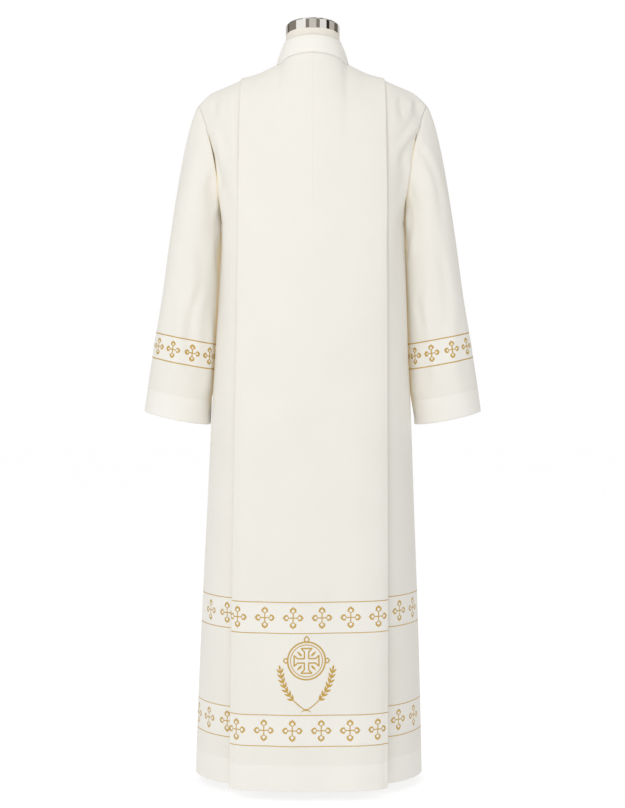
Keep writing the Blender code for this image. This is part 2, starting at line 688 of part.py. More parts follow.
def build_form(tree):
    socket_top = FORM_FLOOR + SOCKET_DEPTH
    rings = [circle(SOCKET_RADIUS, socket_top), circle(SOCKET_RADIUS, FORM_FLOOR)]
    rings += form_rings(tree)
    loft("form_torso", rings, JERSEY)
    neck_top = FORM_RINGS[-1].height
    profile = (
        (CAP_RADIUS, 0.0003),
        (CAP_RADIUS, CAP_HEIGHT - 0.003),
        (CAP_RADIUS - 0.0008, CAP_HEIGHT - 0.001),
        (CAP_RADIUS - 0.003, CAP_HEIGHT + 0.0005),
        (CAP_RADIUS * 0.6, CAP_HEIGHT + 0.0035),
        (CAP_RADIUS * 0.2, CAP_HEIGHT + 0.0048),
    )
    cap = loft("neck_cap", [circle(r, h, 48) for r, h in profile], CHROME)
    cap.location = (0.0, 0.0, neck_top)
    cap.rotation_euler = (-NECK_TILT, 0.0, 0.0)
    foot = BASE_THICKNESS + SEAM_GAP
    pole = [circle(POLE_RADIUS, height, 24) for height in (foot, socket_top - SEAM_GAP)]
    loft("stand_pole", pole, SATIN_STEEL)
    base = (
        (BASE_RADIUS, 0.0),
        (BASE_RADIUS, BASE_THICKNESS - 0.003),
        (BASE_RADIUS - 0.003, BASE_THICKNESS),
        (FLANGE_RADIUS + 0.004, BASE_THICKNESS),
        (FLANGE_RADIUS, BASE_THICKNESS + 0.004),
        (FLANGE_RADIUS, BASE_THICKNESS + FLANGE_HEIGHT - 0.003),
        (FLANGE_RADIUS - 0.003, BASE_THICKNESS + FLANGE_HEIGHT),
        (SOCKET_RADIUS, BASE_THICKNESS + FLANGE_HEIGHT),
        (SOCKET_RADIUS, BASE_THICKNESS),
    )
    loft("stand_base", [circle(r, h, 48) for r, h in base], SATIN_STEEL)


def build_garment():
    hem = hem_thickness(len(rows_of_garment()), 2)
    left = front_grid(-1, 0.0)[:, ::-1]
    right = front_grid(1, LAP_DROP)[:, ::-1]
    collar = collar_grid()
    half = [COLLAR_WALL / 2] * len(collar)
    pieces = [
        cloth_wall("robe_back", back_grid(), inside=hem, half=-1),
        cloth_wall("robe_front_left", left, inside=hem, half=1),
        cloth_wall("robe_front_right", right, inside=hem, half=1),
        cloth_wall("stand_collar", collar, outside=half, inside=half),
    ]
    sleeve = sleeve_grid()[::-1, ::-1]
    turned = hem_thickness(len(sleeve), 2)
    cloth_wall("sleeve_right", sleeve, closed=True, inside=turned)
    cloth_wall("sleeve_left", (sleeve * np.array((-1, 1, 1)))[:, ::-1], closed=True, inside=turned)
    return pieces


def main():
    clear_scene()
    build_form(garment_tree(build_garment()))


main()
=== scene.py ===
"""The look of an alb on a dress form: cloth, embroidery, jersey neck and chrome cap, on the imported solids.

Metres, +Z up, in the solids' own frame. The garment's back faces -Y. Cloth is rebuilt finely on the same
named sizes as the solids, with its creases, seams and turned hems. Gold thread lies on that cloth.
"""

import math
from collections import namedtuple

import bpy
import numpy as np
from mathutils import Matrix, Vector


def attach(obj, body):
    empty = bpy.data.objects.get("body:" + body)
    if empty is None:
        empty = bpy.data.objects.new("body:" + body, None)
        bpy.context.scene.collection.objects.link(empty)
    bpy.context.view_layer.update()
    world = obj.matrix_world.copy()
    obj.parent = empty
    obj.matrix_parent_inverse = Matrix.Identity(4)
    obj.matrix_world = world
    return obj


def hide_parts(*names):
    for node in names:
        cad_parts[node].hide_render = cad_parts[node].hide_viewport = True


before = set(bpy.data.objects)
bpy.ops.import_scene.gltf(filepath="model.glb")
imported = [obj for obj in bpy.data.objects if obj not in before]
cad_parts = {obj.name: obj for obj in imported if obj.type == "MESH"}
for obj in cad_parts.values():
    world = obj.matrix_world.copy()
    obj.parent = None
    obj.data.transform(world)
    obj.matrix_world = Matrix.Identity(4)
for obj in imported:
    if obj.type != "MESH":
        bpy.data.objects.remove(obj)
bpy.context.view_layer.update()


def table(columns, *rows):
    """A table's rows, with their columns named."""
    row_type = namedtuple("Row", columns)
    return tuple(row_type(*row) for row in rows)


# Camera
IMAGE_HEIGHT = 808
CAMERA_HEIGHT = 0.768
CAMERA_DISTANCE = 3.38
PIXELS_AWAY = 1650.0
CAMERA_SIDEWAYS = -0.0005

# Cloth
WALL = 0.0010
SEAM_GAP = 0.0003
COLLAR_WALL = 0.0020
COLLAR_SHELL = COLLAR_WALL - 0.0003
HEM_HEIGHT = 0.018
HEM_TURN = 0.068
ARMPIT_HEIGHT = 1.135
SKIRT_SWAY = -0.0082

# Neck ring and collar
NECK_HALF_WIDTH = 0.0735
NECK_BACK = 0.0595
NECK_FRONT = 0.0640
NECK_RISE_BACK = 0.0158
NECK_RISE_FRONT = -0.0240
COLLAR_HALF_WIDTH = 0.0588
COLLAR_BACK = 0.0572
COLLAR_FRONT = 0.0588
COLLAR_BACK_HEIGHT = 1.5120
COLLAR_SIDE_HEIGHT = 1.5040
COLLAR_FRONT_HEIGHT = 1.4880
COLLAR_SEAT = 0.0002
COLLAR_BULGE = 0.0012
COLLAR_ROLL, COLLAR_ROLL_SHARES, COLLAR_ROLL_SPREAD = 0.0006, (0.10, 0.90), 0.06
COLLAR_MEAN_RADIUS = 0.065

# Box pleat
UNDERLAP = 0.045
PANEL_TOP_HALF_WIDTH = 0.1460
PLEAT_TOP_STEP = 0.0044
EDGE_DROOP = 0.25
FOLD_RADIUS_TOP = 0.0011
FOLD_RADIUS_HEM = 0.0045

# How full the back hangs beside the sleeves, and the heights between which it does
SIDE_FULLNESS = 0.011
SIDE_FULL_FROM, SIDE_FULL_TO = 0.55, 1.00

# Seam down the centre of the back
CENTRE_SEAM_DEPTH = 0.0005

# Front lap, and the column of a front whose heights say where its bands lie
LAP_DROP = 0.0023
FRONT_KEY_COLUMN = 40

# Shoulder, armhole and yoke
SHOULDER_POINT = (0.2325, 1.3780)
ARMHOLE_BACK_LOW = (0.0, -0.075, 0.060)
ARMHOLE_BACK_HIGH = (-0.035, -0.070, -0.090)
ARMHOLE_FRONT_LOW = (0.0, 0.070, 0.060)
ARMHOLE_FRONT_HIGH = (-0.045, 0.072, -0.085)
SHOULDER_BACK_REACH = (0.0, -0.082, -0.006)
SHOULDER_FRONT_REACH = (0.0, 0.072, -0.008)
NAPE_REACH = (0.0, -0.070, -0.035)
THROAT_REACH = (0.0, 0.058, -0.085)

# Sleeve
RING_TILT = math.radians(11.5)
CUFF_LEVEL = 0.7413
CUFF_TURN = 0.7893
SLEEVE_BAND = (0.8525, 0.9025)
SLEEVE_CROSSES = 10
SLEEVE_CROSS_SCALE = 0.80
SLEEVE_CLEARANCE = 0.0012
SEAM_ROLL_HEIGHT, SEAM_ROLL_WIDTH = 0.0009, 0.005

# The level given to the rows of the sleeve's cap, above every stitched one
CAP_LEVEL = 9.0

# How far each cuff swings out from the body, and the heights between which it does
CUFF_SWING = {-1: 0.0105, 1: 0.0085}
SWING_FROM, SWING_TO = 0.802, 0.742

# How far the stitched bands ride up from level, by the way along the cloth from the centre line
BACK_LIFTS = table(
    "along lower upper",
    (-0.360, 0.0078, 0.0030),
    (-0.245, 0.0073, 0.0022),
    (-0.155, 0.0012, 0.0004),
    (0.000, 0.0019, 0.0004),
    (0.155, 0.0019, 0.0018),
    (0.245, 0.0078, 0.0042),
    (0.360, 0.0090, 0.0052),
)
FRONT_LIFTS = table(
    "along lower upper",
    (-0.290, 0.0078, 0.0030),
    (-0.120, 0.0026, 0.0012),
    (0.050, 0.0012, 0.0004),
    (0.290, 0.0090, 0.0052),
)

# Stitched lines at a turned hem: rows of points this far above and below it, and its groove
TURN_ROWS = 0.0012
GROOVE_DEPTH, GROOVE_WIDTH = 0.00025, 0.0010

# Skirt bands: the heights of their two gold lines, and the crosses between them
SKIRT_BANDS = ((0.323, 0.383), (0.104, 0.164))
CROSS_SPACING = 0.0560
CROSS_SCALE = 1.0
PANEL_STITCH_SHIFT = -0.0045
SIDE_STITCH_SHIFT = (-0.0205, -0.0165)
CROSS_REACH_OUT = 0.023
CROSS_MARGIN = 0.022
SIDE_STITCHES_FROM = 0.195
PLEAT_HIDES = (0.150, 0.240)
LINE_WIDTH = 0.0024
SLEEVE_LINE_WIDTH = 0.0033
SLEEVE_BOLD = 1.45
EMBLEM_HEIGHT = 0.243

# How high each kind of stitch stands, and the ends of a line that have none
LINE_RISE, STITCH_RISE, EMBLEM_RISE = 0.0005, 0.0006, 0.0007
LINE_END = 0.0005

# Half sizes of the squares of cloth that crosses and the emblem are sewn on, and the fine squares' steps
CROSS_PATCH, SLEEVE_PATCH, EMBLEM_PATCH = 0.024, 0.020, 0.080
BACK_CROSS_STEPS, EMBLEM_STEPS = 33, 41

# Pitches of the cloth's weave and of the gold thread's stitches
WEAVE_PITCH, THREAD_PITCH = 0.00056, 0.00042

# The body's plan at each height: its side seam, the panel's edge, the depths and the pleat's step
BODY_SECTIONS = table(
    "height half_width panel_half back_depth setback step front_depth",
    (0.018, 0.2306, 0.1545, 0.190, 0.018, 0.053, 0.172),
    (0.160, 0.2266, 0.1540, 0.189, 0.019, 0.050, 0.168),
    (0.350, 0.2200, 0.1530, 0.185, 0.021, 0.043, 0.161),
    (0.550, 0.2112, 0.1515, 0.177, 0.022, 0.036, 0.153),
    (0.750, 0.2030, 0.1500, 0.165, 0.022, 0.027, 0.146),
    (0.950, 0.1930, 0.1485, 0.153, 0.021, 0.020, 0.141),
    (1.135, 0.1865, 0.1475, 0.141, 0.020, 0.014, 0.138),
)
SHOULDER_RIDGE = table(
    "out height",
    (0.0735, 1.4570),
    (0.1066, 1.4408),
    (0.1270, 1.4342),
    (0.1480, 1.4287),
    (0.1750, 1.4175),
    (0.1915, 1.4105),
    (0.2080, 1.4020),
    (0.2220, 1.3900),
    (0.2325, 1.3780),
)
SLEEVE_RINGS = table(
    "height out forward half_width half_depth lean",
    (1.0600, 0.2450, -0.010, 0.0515, 0.0570, 0.02),
    (0.9800, 0.2523, -0.004, 0.0555, 0.0590, 0.03),
    (0.9000, 0.2612, 0.003, 0.0603, 0.0605, 0.05),
    (0.8200, 0.2701, 0.011, 0.0648, 0.0625, 0.07),
    (0.7413, 0.2781, 0.020, 0.0690, 0.0655, 0.09),
)
SOFT_FOLDS = table(
    "stretch place width depth top",
    ("panel", -0.58, 0.16, -0.0026, 1.30),
    ("panel", -0.20, 0.14, 0.0014, 1.10),
    ("panel", 0.26, 0.16, -0.0016, 1.15),
    ("panel", 0.62, 0.15, 0.0024, 1.25),
    ("side", -0.55, 0.22, 0.0040, 1.05),
    ("side", 0.48, 0.24, 0.0042, 1.05),
    ("front", -0.66, 0.13, 0.0048, 1.20),
    ("front", -0.34, 0.10, -0.0034, 1.10),
    ("front", 0.30, 0.11, -0.0036, 1.15),
    ("front", 0.62, 0.14, 0.0050, 1.20),
)

# Creases that hang or pull in the cloth: each runs between two points of a piece, given as
# its place across (see each piece) and its height, and is a ridge where depth is positive
CREASES = table(
    "piece place_a height_a place_b height_b width depth",
    ("back", -1.98, 1.330, -1.62, 1.255, 0.0070, 0.0033),
    ("back", -1.99, 1.290, -1.58, 1.190, 0.0090, -0.0027),
    ("back", -1.97, 1.215, -1.50, 1.060, 0.0110, 0.0033),
    ("back", -1.72, 1.150, -1.40, 0.860, 0.0120, -0.0021),
    ("back", 1.98, 1.345, 1.55, 1.275, 0.0070, 0.0045),
    ("back", 1.99, 1.318, 1.50, 1.230, 0.0070, -0.0039),
    ("back", 1.98, 1.268, 1.52, 1.140, 0.0090, 0.0039),
    ("back", 1.96, 1.200, 1.46, 1.000, 0.0120, -0.0030),
    ("back", 1.60, 1.080, 1.36, 0.800, 0.0120, 0.0021),
    ("back", 1.40, 1.392, 1.56, 1.335, 0.0055, -0.0026),
    ("back", 1.62, 1.388, 1.75, 1.358, 0.0045, 0.0020),
    ("back", 1.80, 1.386, 1.90, 1.352, 0.0045, -0.0034),
    ("back", -1.64, 1.390, -1.72, 1.348, 0.0050, -0.0022),
    ("back", -0.72, 1.395, -0.60, 1.250, 0.0110, -0.0008),
    ("back", 0.66, 1.390, 0.78, 1.220, 0.0100, 0.0010),
    ("back", -0.86, 0.700, -0.80, 0.100, 0.0160, 0.0016),
    ("back", 0.84, 0.560, 0.90, 0.060, 0.0150, -0.0014),
    ("front", -1.97, 1.300, -1.45, 1.190, 0.0080, 0.0024),
    ("front", -1.98, 1.240, -1.30, 1.060, 0.0110, -0.0020),
    ("front", -1.10, 1.380, -0.86, 1.120, 0.0130, 0.0014),
    ("front", 1.97, 1.320, 1.40, 1.215, 0.0080, 0.0026),
    ("front", 1.98, 1.230, 1.36, 1.030, 0.0110, 0.0020),
    ("front", 1.06, 1.370, 0.90, 1.090, 0.0130, -0.0014),
    ("front", -0.60, 0.980, -0.66, 0.300, 0.0200, 0.0018),
    ("front", 0.70, 0.900, 0.62, 0.200, 0.0180, -0.0018),
)
# Creases of a sleeve, by the turn round it in degrees, where 0 is outside, 90 behind and 180 by the body
SLEEVE_CREASES = table(
    "hand turn_a level_a turn_b level_b width depth",
    (-1, 128, 1.230, 150, 1.060, 0.0090, 0.0051),
    (-1, 152, 1.200, 166, 1.030, 0.0080, -0.0044),
    (-1, 108, 1.330, 116, 1.160, 0.0070, -0.0034),
    (-1, 84, 1.100, 88, 0.960, 0.0090, 0.0027),
    (-1, 112, 1.010, 108, 0.830, 0.0080, -0.0031),
    (-1, 66, 1.000, 70, 0.800, 0.0100, 0.0024),
    (-1, 140, 0.960, 134, 0.760, 0.0090, 0.0027),
    (-1, 236, 1.220, 214, 1.040, 0.0100, 0.0044),
    (-1, 268, 1.060, 262, 0.800, 0.0110, -0.0031),
    (-1, 300, 1.150, 296, 0.880, 0.0120, 0.0027),
    (1, 122, 1.250, 146, 1.070, 0.0080, 0.0058),
    (1, 142, 1.220, 162, 1.060, 0.0070, -0.0051),
    (1, 92, 1.335, 96, 1.150, 0.0110, 0.0030),
    (1, 66, 1.320, 62, 1.120, 0.0090, -0.0028),
    (1, 78, 1.090, 84, 0.900, 0.0090, -0.0024),
    (1, 104, 1.020, 100, 0.800, 0.0090, 0.0031),
    (1, 130, 0.980, 128, 0.780, 0.0080, -0.0027),
    (1, 58, 0.960, 62, 0.760, 0.0100, 0.0024),
    (1, 228, 1.210, 212, 1.050, 0.0090, 0.0048),
    (1, 256, 1.080, 262, 0.820, 0.0110, 0.0031),
    (1, 302, 1.130, 306, 0.860, 0.0120, -0.0024),
)

# How many metres a step of place across is, for the creases of each piece
CREASE_SPREADS = {"back": 0.075, "front": 0.085, "sleeve": 0.00105}


def smooth_step(share):
    share = np.clip(share, 0.0, 1.0)
    return share * share * (3 - 2 * share)


def table_at(rows, key, value):
    """The table's row at a value of its key column, on a smooth curve through the rows."""
    keys = [getattr(row, key) for row in rows]
    order = 1 if keys[-1] > keys[0] else -1
    keys = [order * k for k in keys]
    value = min(max(order * value, keys[0]), keys[-1])
    i = min(max(k for k in range(len(keys)) if keys[k] <= value), len(keys) - 2)
    grid = np.array([list(row) for row in rows], float)
    before, after = max(i - 1, 0), min(i + 2, len(keys) - 1)
    span = keys[i + 1] - keys[i]
    slope_in = (grid[i + 1] - grid[before]) / (keys[i + 1] - keys[before])
    slope_out = (grid[after] - grid[i]) / (keys[after] - keys[i])
    u = (value - keys[i]) / span
    blend = (2 * u**3 - 3 * u**2 + 1) * grid[i] + (3 * u**2 - 2 * u**3) * grid[i + 1]
    blend = blend + span * ((u**3 - 2 * u**2 + u) * slope_in + (u**3 - u**2) * slope_out)
    return type(rows[0])(*blend)


def bezier(start, first, second, end, share):
    share = np.asarray(share)[..., None]
    rest = 1 - share
    return (
        rest**3 * start
        + 3 * rest**2 * share * first
        + 3 * rest * share**2 * second
        + share**3 * end
    )


def unit(rows):
    return rows / np.maximum(np.linalg.norm(rows, axis=-1, keepdims=True), 1e-12)


def fold_lift(stretch, place, height):
    total = np.zeros_like(place)
    for fold in SOFT_FOLDS:
        if fold.stretch == stretch:
            across = np.exp(-(((place - fold.place) / fold.width) ** 2))
            total += fold.depth * across * smooth_step((fold.top - height) / (fold.top - HEM_HEIGHT))
    return total


NECK_LATERAL = NECK_HALF_WIDTH / PANEL_TOP_HALF_WIDTH
RIDGE_OUT = np.linspace(NECK_HALF_WIDTH, SHOULDER_POINT[0], 200)
RIDGE_UP = np.array([table_at(SHOULDER_RIDGE, "out", out).height for out in RIDGE_OUT])
RIDGE_SLOPE = (RIDGE_UP[1] - RIDGE_UP[0]) / (RIDGE_OUT[1] - RIDGE_OUT[0])
RIDGE_RUN_ON = 0.011


def back_base(lateral, section):
    """Plan points of the back's under layer: lateral 0 at the centre, 1 under the panel's edge, 2 at the
    side seam."""
    edge_depth = section.back_depth - section.setback - section.step
    depth = section.back_depth - section.step - section.setback * lateral**2
    middle = np.stack([lateral * section.panel_half, -depth], axis=-1)
    start = np.array((section.panel_half, -edge_depth))
    end = np.array((section.half_width, 0.0))
    along = 0.31 * (section.half_width - section.panel_half)
    first = start + along * np.array((1.0, 2 * section.setback / section.panel_half))
    second = end - np.array((0.0, 0.40 * edge_depth))
    side = bezier(start, first, second, end, np.clip(lateral - 1, 0, 1))
    return np.where((lateral <= 1)[:, None], middle, side)


def trimmed_share(curve, side, edge):
    """The share of each column's curve that is left where the neckline cuts it, edge deep from the seam."""
    short, far = np.full(len(edge), 0.3), np.full(len(edge), 1.0)
    for _ in range(24):
        middle = (short + far) / 2
        over = side * bezier(*curve, middle)[:, 1] > edge
        short, far = np.where(over, middle, short), np.where(over, far, middle)
    return short


def yoke_curve(lateral, side, low, low_reach):
    """The four points of each column's curve from the armpit's height to the shoulder seam, and the share
    of it that the neckline leaves. Inside the neck ring the columns run on to a crown, whose height is
    found from the neckline's own height."""
    count = len(lateral)
    beyond = np.clip(lateral - 1, 0, None)
    out = np.where(
        lateral <= 1,
        lateral * PANEL_TOP_HALF_WIDTH,
        PANEL_TOP_HALF_WIDTH + beyond * (SHOULDER_POINT[0] - PANEL_TOP_HALF_WIDTH),
    )
    shoulder = np.array(SHOULDER_BACK_REACH if side < 0 else SHOULDER_FRONT_REACH)
    centre = np.array(NAPE_REACH if side < 0 else THROAT_REACH)
    inside = np.maximum(0.0, 1 - (lateral / NECK_LATERAL) ** 2)
    reach = shoulder + (centre - shoulder) * inside[:, None] ** 2
    arm_low = np.array(ARMHOLE_BACK_LOW if side < 0 else ARMHOLE_FRONT_LOW)
    arm_high = np.array(ARMHOLE_BACK_HIGH if side < 0 else ARMHOLE_FRONT_HIGH)
    share = (beyond**2)[:, None]
    low_reach = low_reach + (arm_low - low_reach) * share
    reach = reach + (arm_high - reach) * share
    edge = (NECK_BACK if side < 0 else NECK_FRONT) * np.sqrt(inside)
    neckline = SHOULDER_RIDGE[0].height + (NECK_RISE_BACK if side < 0 else NECK_RISE_FRONT) * inside

    height = np.interp(out, RIDGE_OUT, RIDGE_UP)
    ring = lateral < NECK_LATERAL
    if ring.any():
        rows = [values[ring] for values in (lateral, out, low, low_reach, reach, edge, neckline)]
        height[ring] = crown_heights(side, *rows)
    end = np.stack([out, np.full(count, side * SEAM_GAP / 2), height], axis=-1)
    curve = low, low + low_reach, end + reach, end
    return curve, np.where(inside > 0, trimmed_share(curve, side, edge), 1.0)


CROWNS = {}


def crown_heights(side, lateral, out, low, low_reach, reach, edge, neckline):
    """Heights over the shoulders' line of the columns inside the neck ring, found so that each is cut at
    the neckline's height. Near the ring they run on in line with the shoulder."""
    key = (side, lateral.tobytes())
    if key in CROWNS:
        return CROWNS[key]
    under, over = neckline - 0.06, neckline + 0.14
    for _ in range(24):
        crown = (under + over) / 2
        end = np.stack([out, np.full(len(out), side * SEAM_GAP / 2), crown], axis=-1)
        curve = low, low + low_reach, end + reach, end
        short = bezier(*curve, trimmed_share(curve, side, edge))[:, 2] < neckline
        under, over = np.where(short, crown, under), np.where(short, over, crown)
    inward = NECK_HALF_WIDTH - out
    level = RIDGE_UP[0] - RIDGE_SLOPE * inward
    CROWNS[key] = crown + (level - crown) * np.exp(-((inward / RIDGE_RUN_ON) ** 2))
    return CROWNS[key]


def back_row(lateral, lift, row):
    """Points of the back on one row, at arrays of lateral and lift."""
    kind, value = row
    lateral = np.minimum(lateral, 2.0)
    if kind == "skirt":
        plan = back_base(lateral, table_at(BODY_SECTIONS, "height", value))
        return np.stack([plan[:, 0], plan[:, 1] - lift, np.full(len(lateral), value)], axis=-1)
    section = table_at(BODY_SECTIONS, "height", ARMPIT_HEIGHT)
    below = table_at(BODY_SECTIONS, "height", ARMPIT_HEIGHT - 0.02)
    plan = back_base(lateral, section)
    lean = (plan[:, 1] - back_base(lateral, below)[:, 1]) / 0.02
    low = np.stack([plan[:, 0], plan[:, 1], np.full(len(lateral), ARMPIT_HEIGHT)], axis=-1)
    low_reach = np.stack([0 * lean, 0.11 * lean, np.full(len(lateral), 0.11)], axis=-1)
    curve, whole = yoke_curve(lateral, -1, low, low_reach)
    here = bezier(*curve, value * whole)
    step = here - bezier(*curve, value * whole - 0.01)
    lift = lift + (PLEAT_TOP_STEP - section.step) * (smooth_step(value * whole) - smooth_step(value))
    out = np.stack([0 * lift, -step[:, 2], step[:, 1]], axis=-1)
    return here + lift[:, None] * unit(out)


def front_row(lateral, row, drop):
    """Points of a front on one row: lateral 0 at the centre, 2 at the side seam, below 0 on the lap."""
    kind, value = row
    side = np.abs(lateral)
    flip = np.where(lateral < 0, -1.0, 1.0)
    section = table_at(BODY_SECTIONS, "height", value if kind == "skirt" else ARMPIT_HEIGHT)
    turn = math.pi / 2 * np.minimum(1.0, side / 2)
    x = section.half_width * np.sin(turn) ** 0.92
    y = section.front_depth * np.maximum(np.cos(turn), 0.0) ** 0.88
    if kind == "skirt":
        return np.stack([flip * x, y - drop, np.full(len(lateral), value)], axis=-1)
    low = np.stack([x, y, np.full(len(lateral), ARMPIT_HEIGHT)], axis=-1)
    curve, whole = yoke_curve(side, 1, low, np.array((0.0, 0.0, 0.11)))
    here = bezier(*curve, value * whole)
    step = here - bezier(*curve, value * whole - 0.01)
    raised = PLEAT_TOP_STEP * smooth_step((1.08 - side) / 0.16) * smooth_step(2 * value * whole - 1)
    outward = unit(np.stack([0 * side, step[:, 2], -step[:, 1]], axis=-1))
    here = here + (raised - drop)[:, None] * outward
    return here * np.stack([flip, 1 + 0 * flip, 1 + 0 * flip], axis=-1)


def surface_normals(grid, closed=False):
    up = unit(np.diff(grid, axis=0))
    rise = np.concatenate([up[:1], up[:-1] + up[1:], up[-1:]])
    if closed:
        after = unit(np.roll(grid, -1, axis=1) - grid)
        across = after + np.roll(after, 1, axis=1)
    else:
        side = unit(np.diff(grid, axis=1))
        across = np.concatenate([side[:, :1], side[:, :-1] + side[:, 1:], side[:, -1:]], axis=1)
    return unit(np.cross(unit(across), unit(rise)))


def crease_relief(creases, places, heights, spread):
    """Relief of creases on a grid of places across and heights up, where spread turns a step of place
    into metres."""
    total = np.zeros(np.broadcast(places, heights).shape)
    for _, place_a, height_a, place_b, height_b, width, depth in creases:
        ax, bx = place_a * spread, place_b * spread
        length = math.hypot(bx - ax, height_b - height_a)
        dx, dy = (bx - ax) / length, (height_b - height_a) / length
        px, py = places * spread - ax, heights - height_a
        along = (px * dx + py * dy) / length
        bow = 0.06 * length * np.sin(math.pi * np.clip(along, 0, 1)) * (1 if depth > 0 else -1)
        off = px * dy - py * dx + bow
        fade = smooth_step((along + 0.08) / 0.35) * smooth_step((1.12 - along) / 0.5)
        narrow = width * (1 + 0.6 * np.clip(along, 0, 1))
        beside = (np.abs(off) - 1.9 * narrow) / narrow
        total += depth * fade * (np.exp(-((off / narrow) ** 2)) - 0.35 * np.exp(-(beside**2)))
    return total


def body_relief(piece, places, heights):
    creases = [crease for crease in CREASES if crease.piece == piece]
    return crease_relief(creases, places, heights, CREASE_SPREADS[piece])


def add_mesh(name, vertices, faces, sizes=None):
    """A smooth mesh, with sizes along and across its cloth or thread in metres at each point."""
    mesh = bpy.data.meshes.new(name)
    mesh.from_pydata(np.asarray(vertices, float).tolist(), [], np.asarray(faces).tolist())
    mesh.shade_smooth()
    if sizes is not None:
        corner = np.empty(len(mesh.loops), int)
        mesh.loops.foreach_get("vertex_index", corner)
        layer = mesh.uv_layers.new(name="cloth")
        layer.data.foreach_set("uv", sizes[corner].astype(np.float32).reshape(-1))
    made = bpy.data.objects.new(name, mesh)
    bpy.context.scene.collection.objects.link(made)
    return made


def grid_faces(rows, columns, closed=False):
    r = np.arange(rows - 1)[:, None]
    c = np.arange(columns if closed else columns - 1)[None, :]
    n = (c + 1) % columns
    corners = (r * columns + c, r * columns + n, (r + 1) * columns + n, (r + 1) * columns + c)
    return np.stack(corners, axis=-1).reshape(-1, 4)


def arc_lengths(grid, axis):
    steps = np.linalg.norm(np.diff(grid, axis=axis), axis=-1)
    pad = [(0, 0), (0, 0)]
    pad[axis] = (1, 0)
    return np.cumsum(np.pad(steps, pad), axis=axis)


def cloth_sheet(name, grid, look, closed=False, doubled=0.0, warm=0.0, wall=WALL):
    """A thin shell on a grid of points. Doubled says where the cloth lies double, and the other share where
    its crevice beside a sleeve gets painted shade: a tan colour and a faint tan glow."""
    rows, columns = grid.shape[:2]
    sizes = np.stack([arc_lengths(grid, 1).reshape(-1), arc_lengths(grid, 0).reshape(-1)], axis=-1)
    made = add_mesh(name, grid.reshape(-1, 3), grid_faces(rows, columns, closed), sizes)
    for key, shares in (("doubled", doubled), ("warm", warm)):
        values = np.broadcast_to(shares, (rows, columns)).astype(np.float32)
        made.data.attributes.new(key, "FLOAT", "POINT").data.foreach_set("value", values.reshape(-1))
    made.data.materials.append(look)
    shell = made.modifiers.new("wall", "SOLIDIFY")
    shell.thickness = wall
    shell.offset = 0.0
    shell.use_rim = True
    shell.use_even_offset = False
    return made


def dress(name, node, grid, look, held, closed=False, **shares):
    """The sheet of cloth that stands for a node, with the node hidden."""
    made = cloth_sheet(name, grid, look, closed, **shares)
    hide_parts(node)
    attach(made, "root")
    declare_sheet(grid, closed)


def row_sizes(row):
    """The panel's half width, the pleat's step and its fold's radius on one row."""
    kind, value = row
    growth = FOLD_RADIUS_HEM - FOLD_RADIUS_TOP
    if kind == "skirt":
        section = table_at(BODY_SECTIONS, "height", value)
        share = (ARMPIT_HEIGHT - value) / (ARMPIT_HEIGHT - HEM_HEIGHT)
        return section.panel_half, section.step, FOLD_RADIUS_TOP + growth * (0.25 + 0.75 * share)
    section = table_at(BODY_SECTIONS, "height", ARMPIT_HEIGHT)
    share = smooth_step(value)
    panel_half = section.panel_half + (PANEL_TOP_HALF_WIDTH - section.panel_half) * share
    step = section.step + (PLEAT_TOP_STEP - section.step) * share
    radius = FOLD_RADIUS_TOP + growth * 0.25
    return panel_half, step, radius + (FOLD_RADIUS_TOP - radius) * share


# Columns of points across half of the back: centre seam, neck, shoulder, folded pleat and side
CENTRE_COLUMNS = (0.0, 0.0012, 0.0021, 0.0030)
SEAM_COLUMN = 2
NECK_COLUMNS = 26
SHOULDER_COLUMNS = 28
PANEL_COLUMNS = NECK_COLUMNS + SHOULDER_COLUMNS + len(CENTRE_COLUMNS) - 1
HAIRPIN_COLUMNS = 10
UNDERLAY_COLUMNS = 5
RUN_COLUMNS = 5
SIDE_COLUMNS = 34


def pleat_path(panel_half, step, radius):
    """Laterals and lifts across one half of the back, from the centre to the side seam."""
    edge = (panel_half - radius) / panel_half
    droop = EDGE_DROOP * (step - PLEAT_TOP_STEP)
    seam = np.array(CENTRE_COLUMNS) / PANEL_TOP_HALF_WIDTH
    turn = math.pi / 2 * np.arange(1, NECK_COLUMNS + 1) / NECK_COLUMNS
    share = (np.arange(1, SHOULDER_COLUMNS + 1) / SHOULDER_COLUMNS) ** 0.9
    shoulder = NECK_LATERAL + (edge - NECK_LATERAL) * share
    panel = np.concatenate([seam, NECK_LATERAL * np.sin(turn), shoulder])
    lateral, lift = [panel], [step - droop * (panel / edge) ** 12]
    step = step - droop
    turn = math.pi / 2 - math.pi * np.arange(1, HAIRPIN_COLUMNS + 1) / HAIRPIN_COLUMNS
    lateral.append((panel_half - radius + radius * np.cos(turn)) / panel_half)
    lift.append(step - radius + radius * np.sin(turn))
    inner = panel_half - UNDERLAP + radius
    share = np.arange(1, UNDERLAY_COLUMNS + 1) / UNDERLAY_COLUMNS
    lateral.append((panel_half - radius + (inner - panel_half + radius) * share) / panel_half)
    lift.append((step - 2 * radius) * (1 - share) + 2 * radius * share)
    lateral.append((inner - radius * np.cos(turn)) / panel_half)
    lift.append(radius + radius * np.sin(turn))
    share = np.arange(1, RUN_COLUMNS + 1) / RUN_COLUMNS
    lateral.append((inner + (panel_half - inner) * share) / panel_half)
    lift.append(np.zeros(RUN_COLUMNS))
    share = np.arange(1, SIDE_COLUMNS + 1) / SIDE_COLUMNS
    lateral.append(1 + share)
    lift.append(np.zeros(SIDE_COLUMNS))
    return np.concatenate(lateral), np.concatenate(lift)


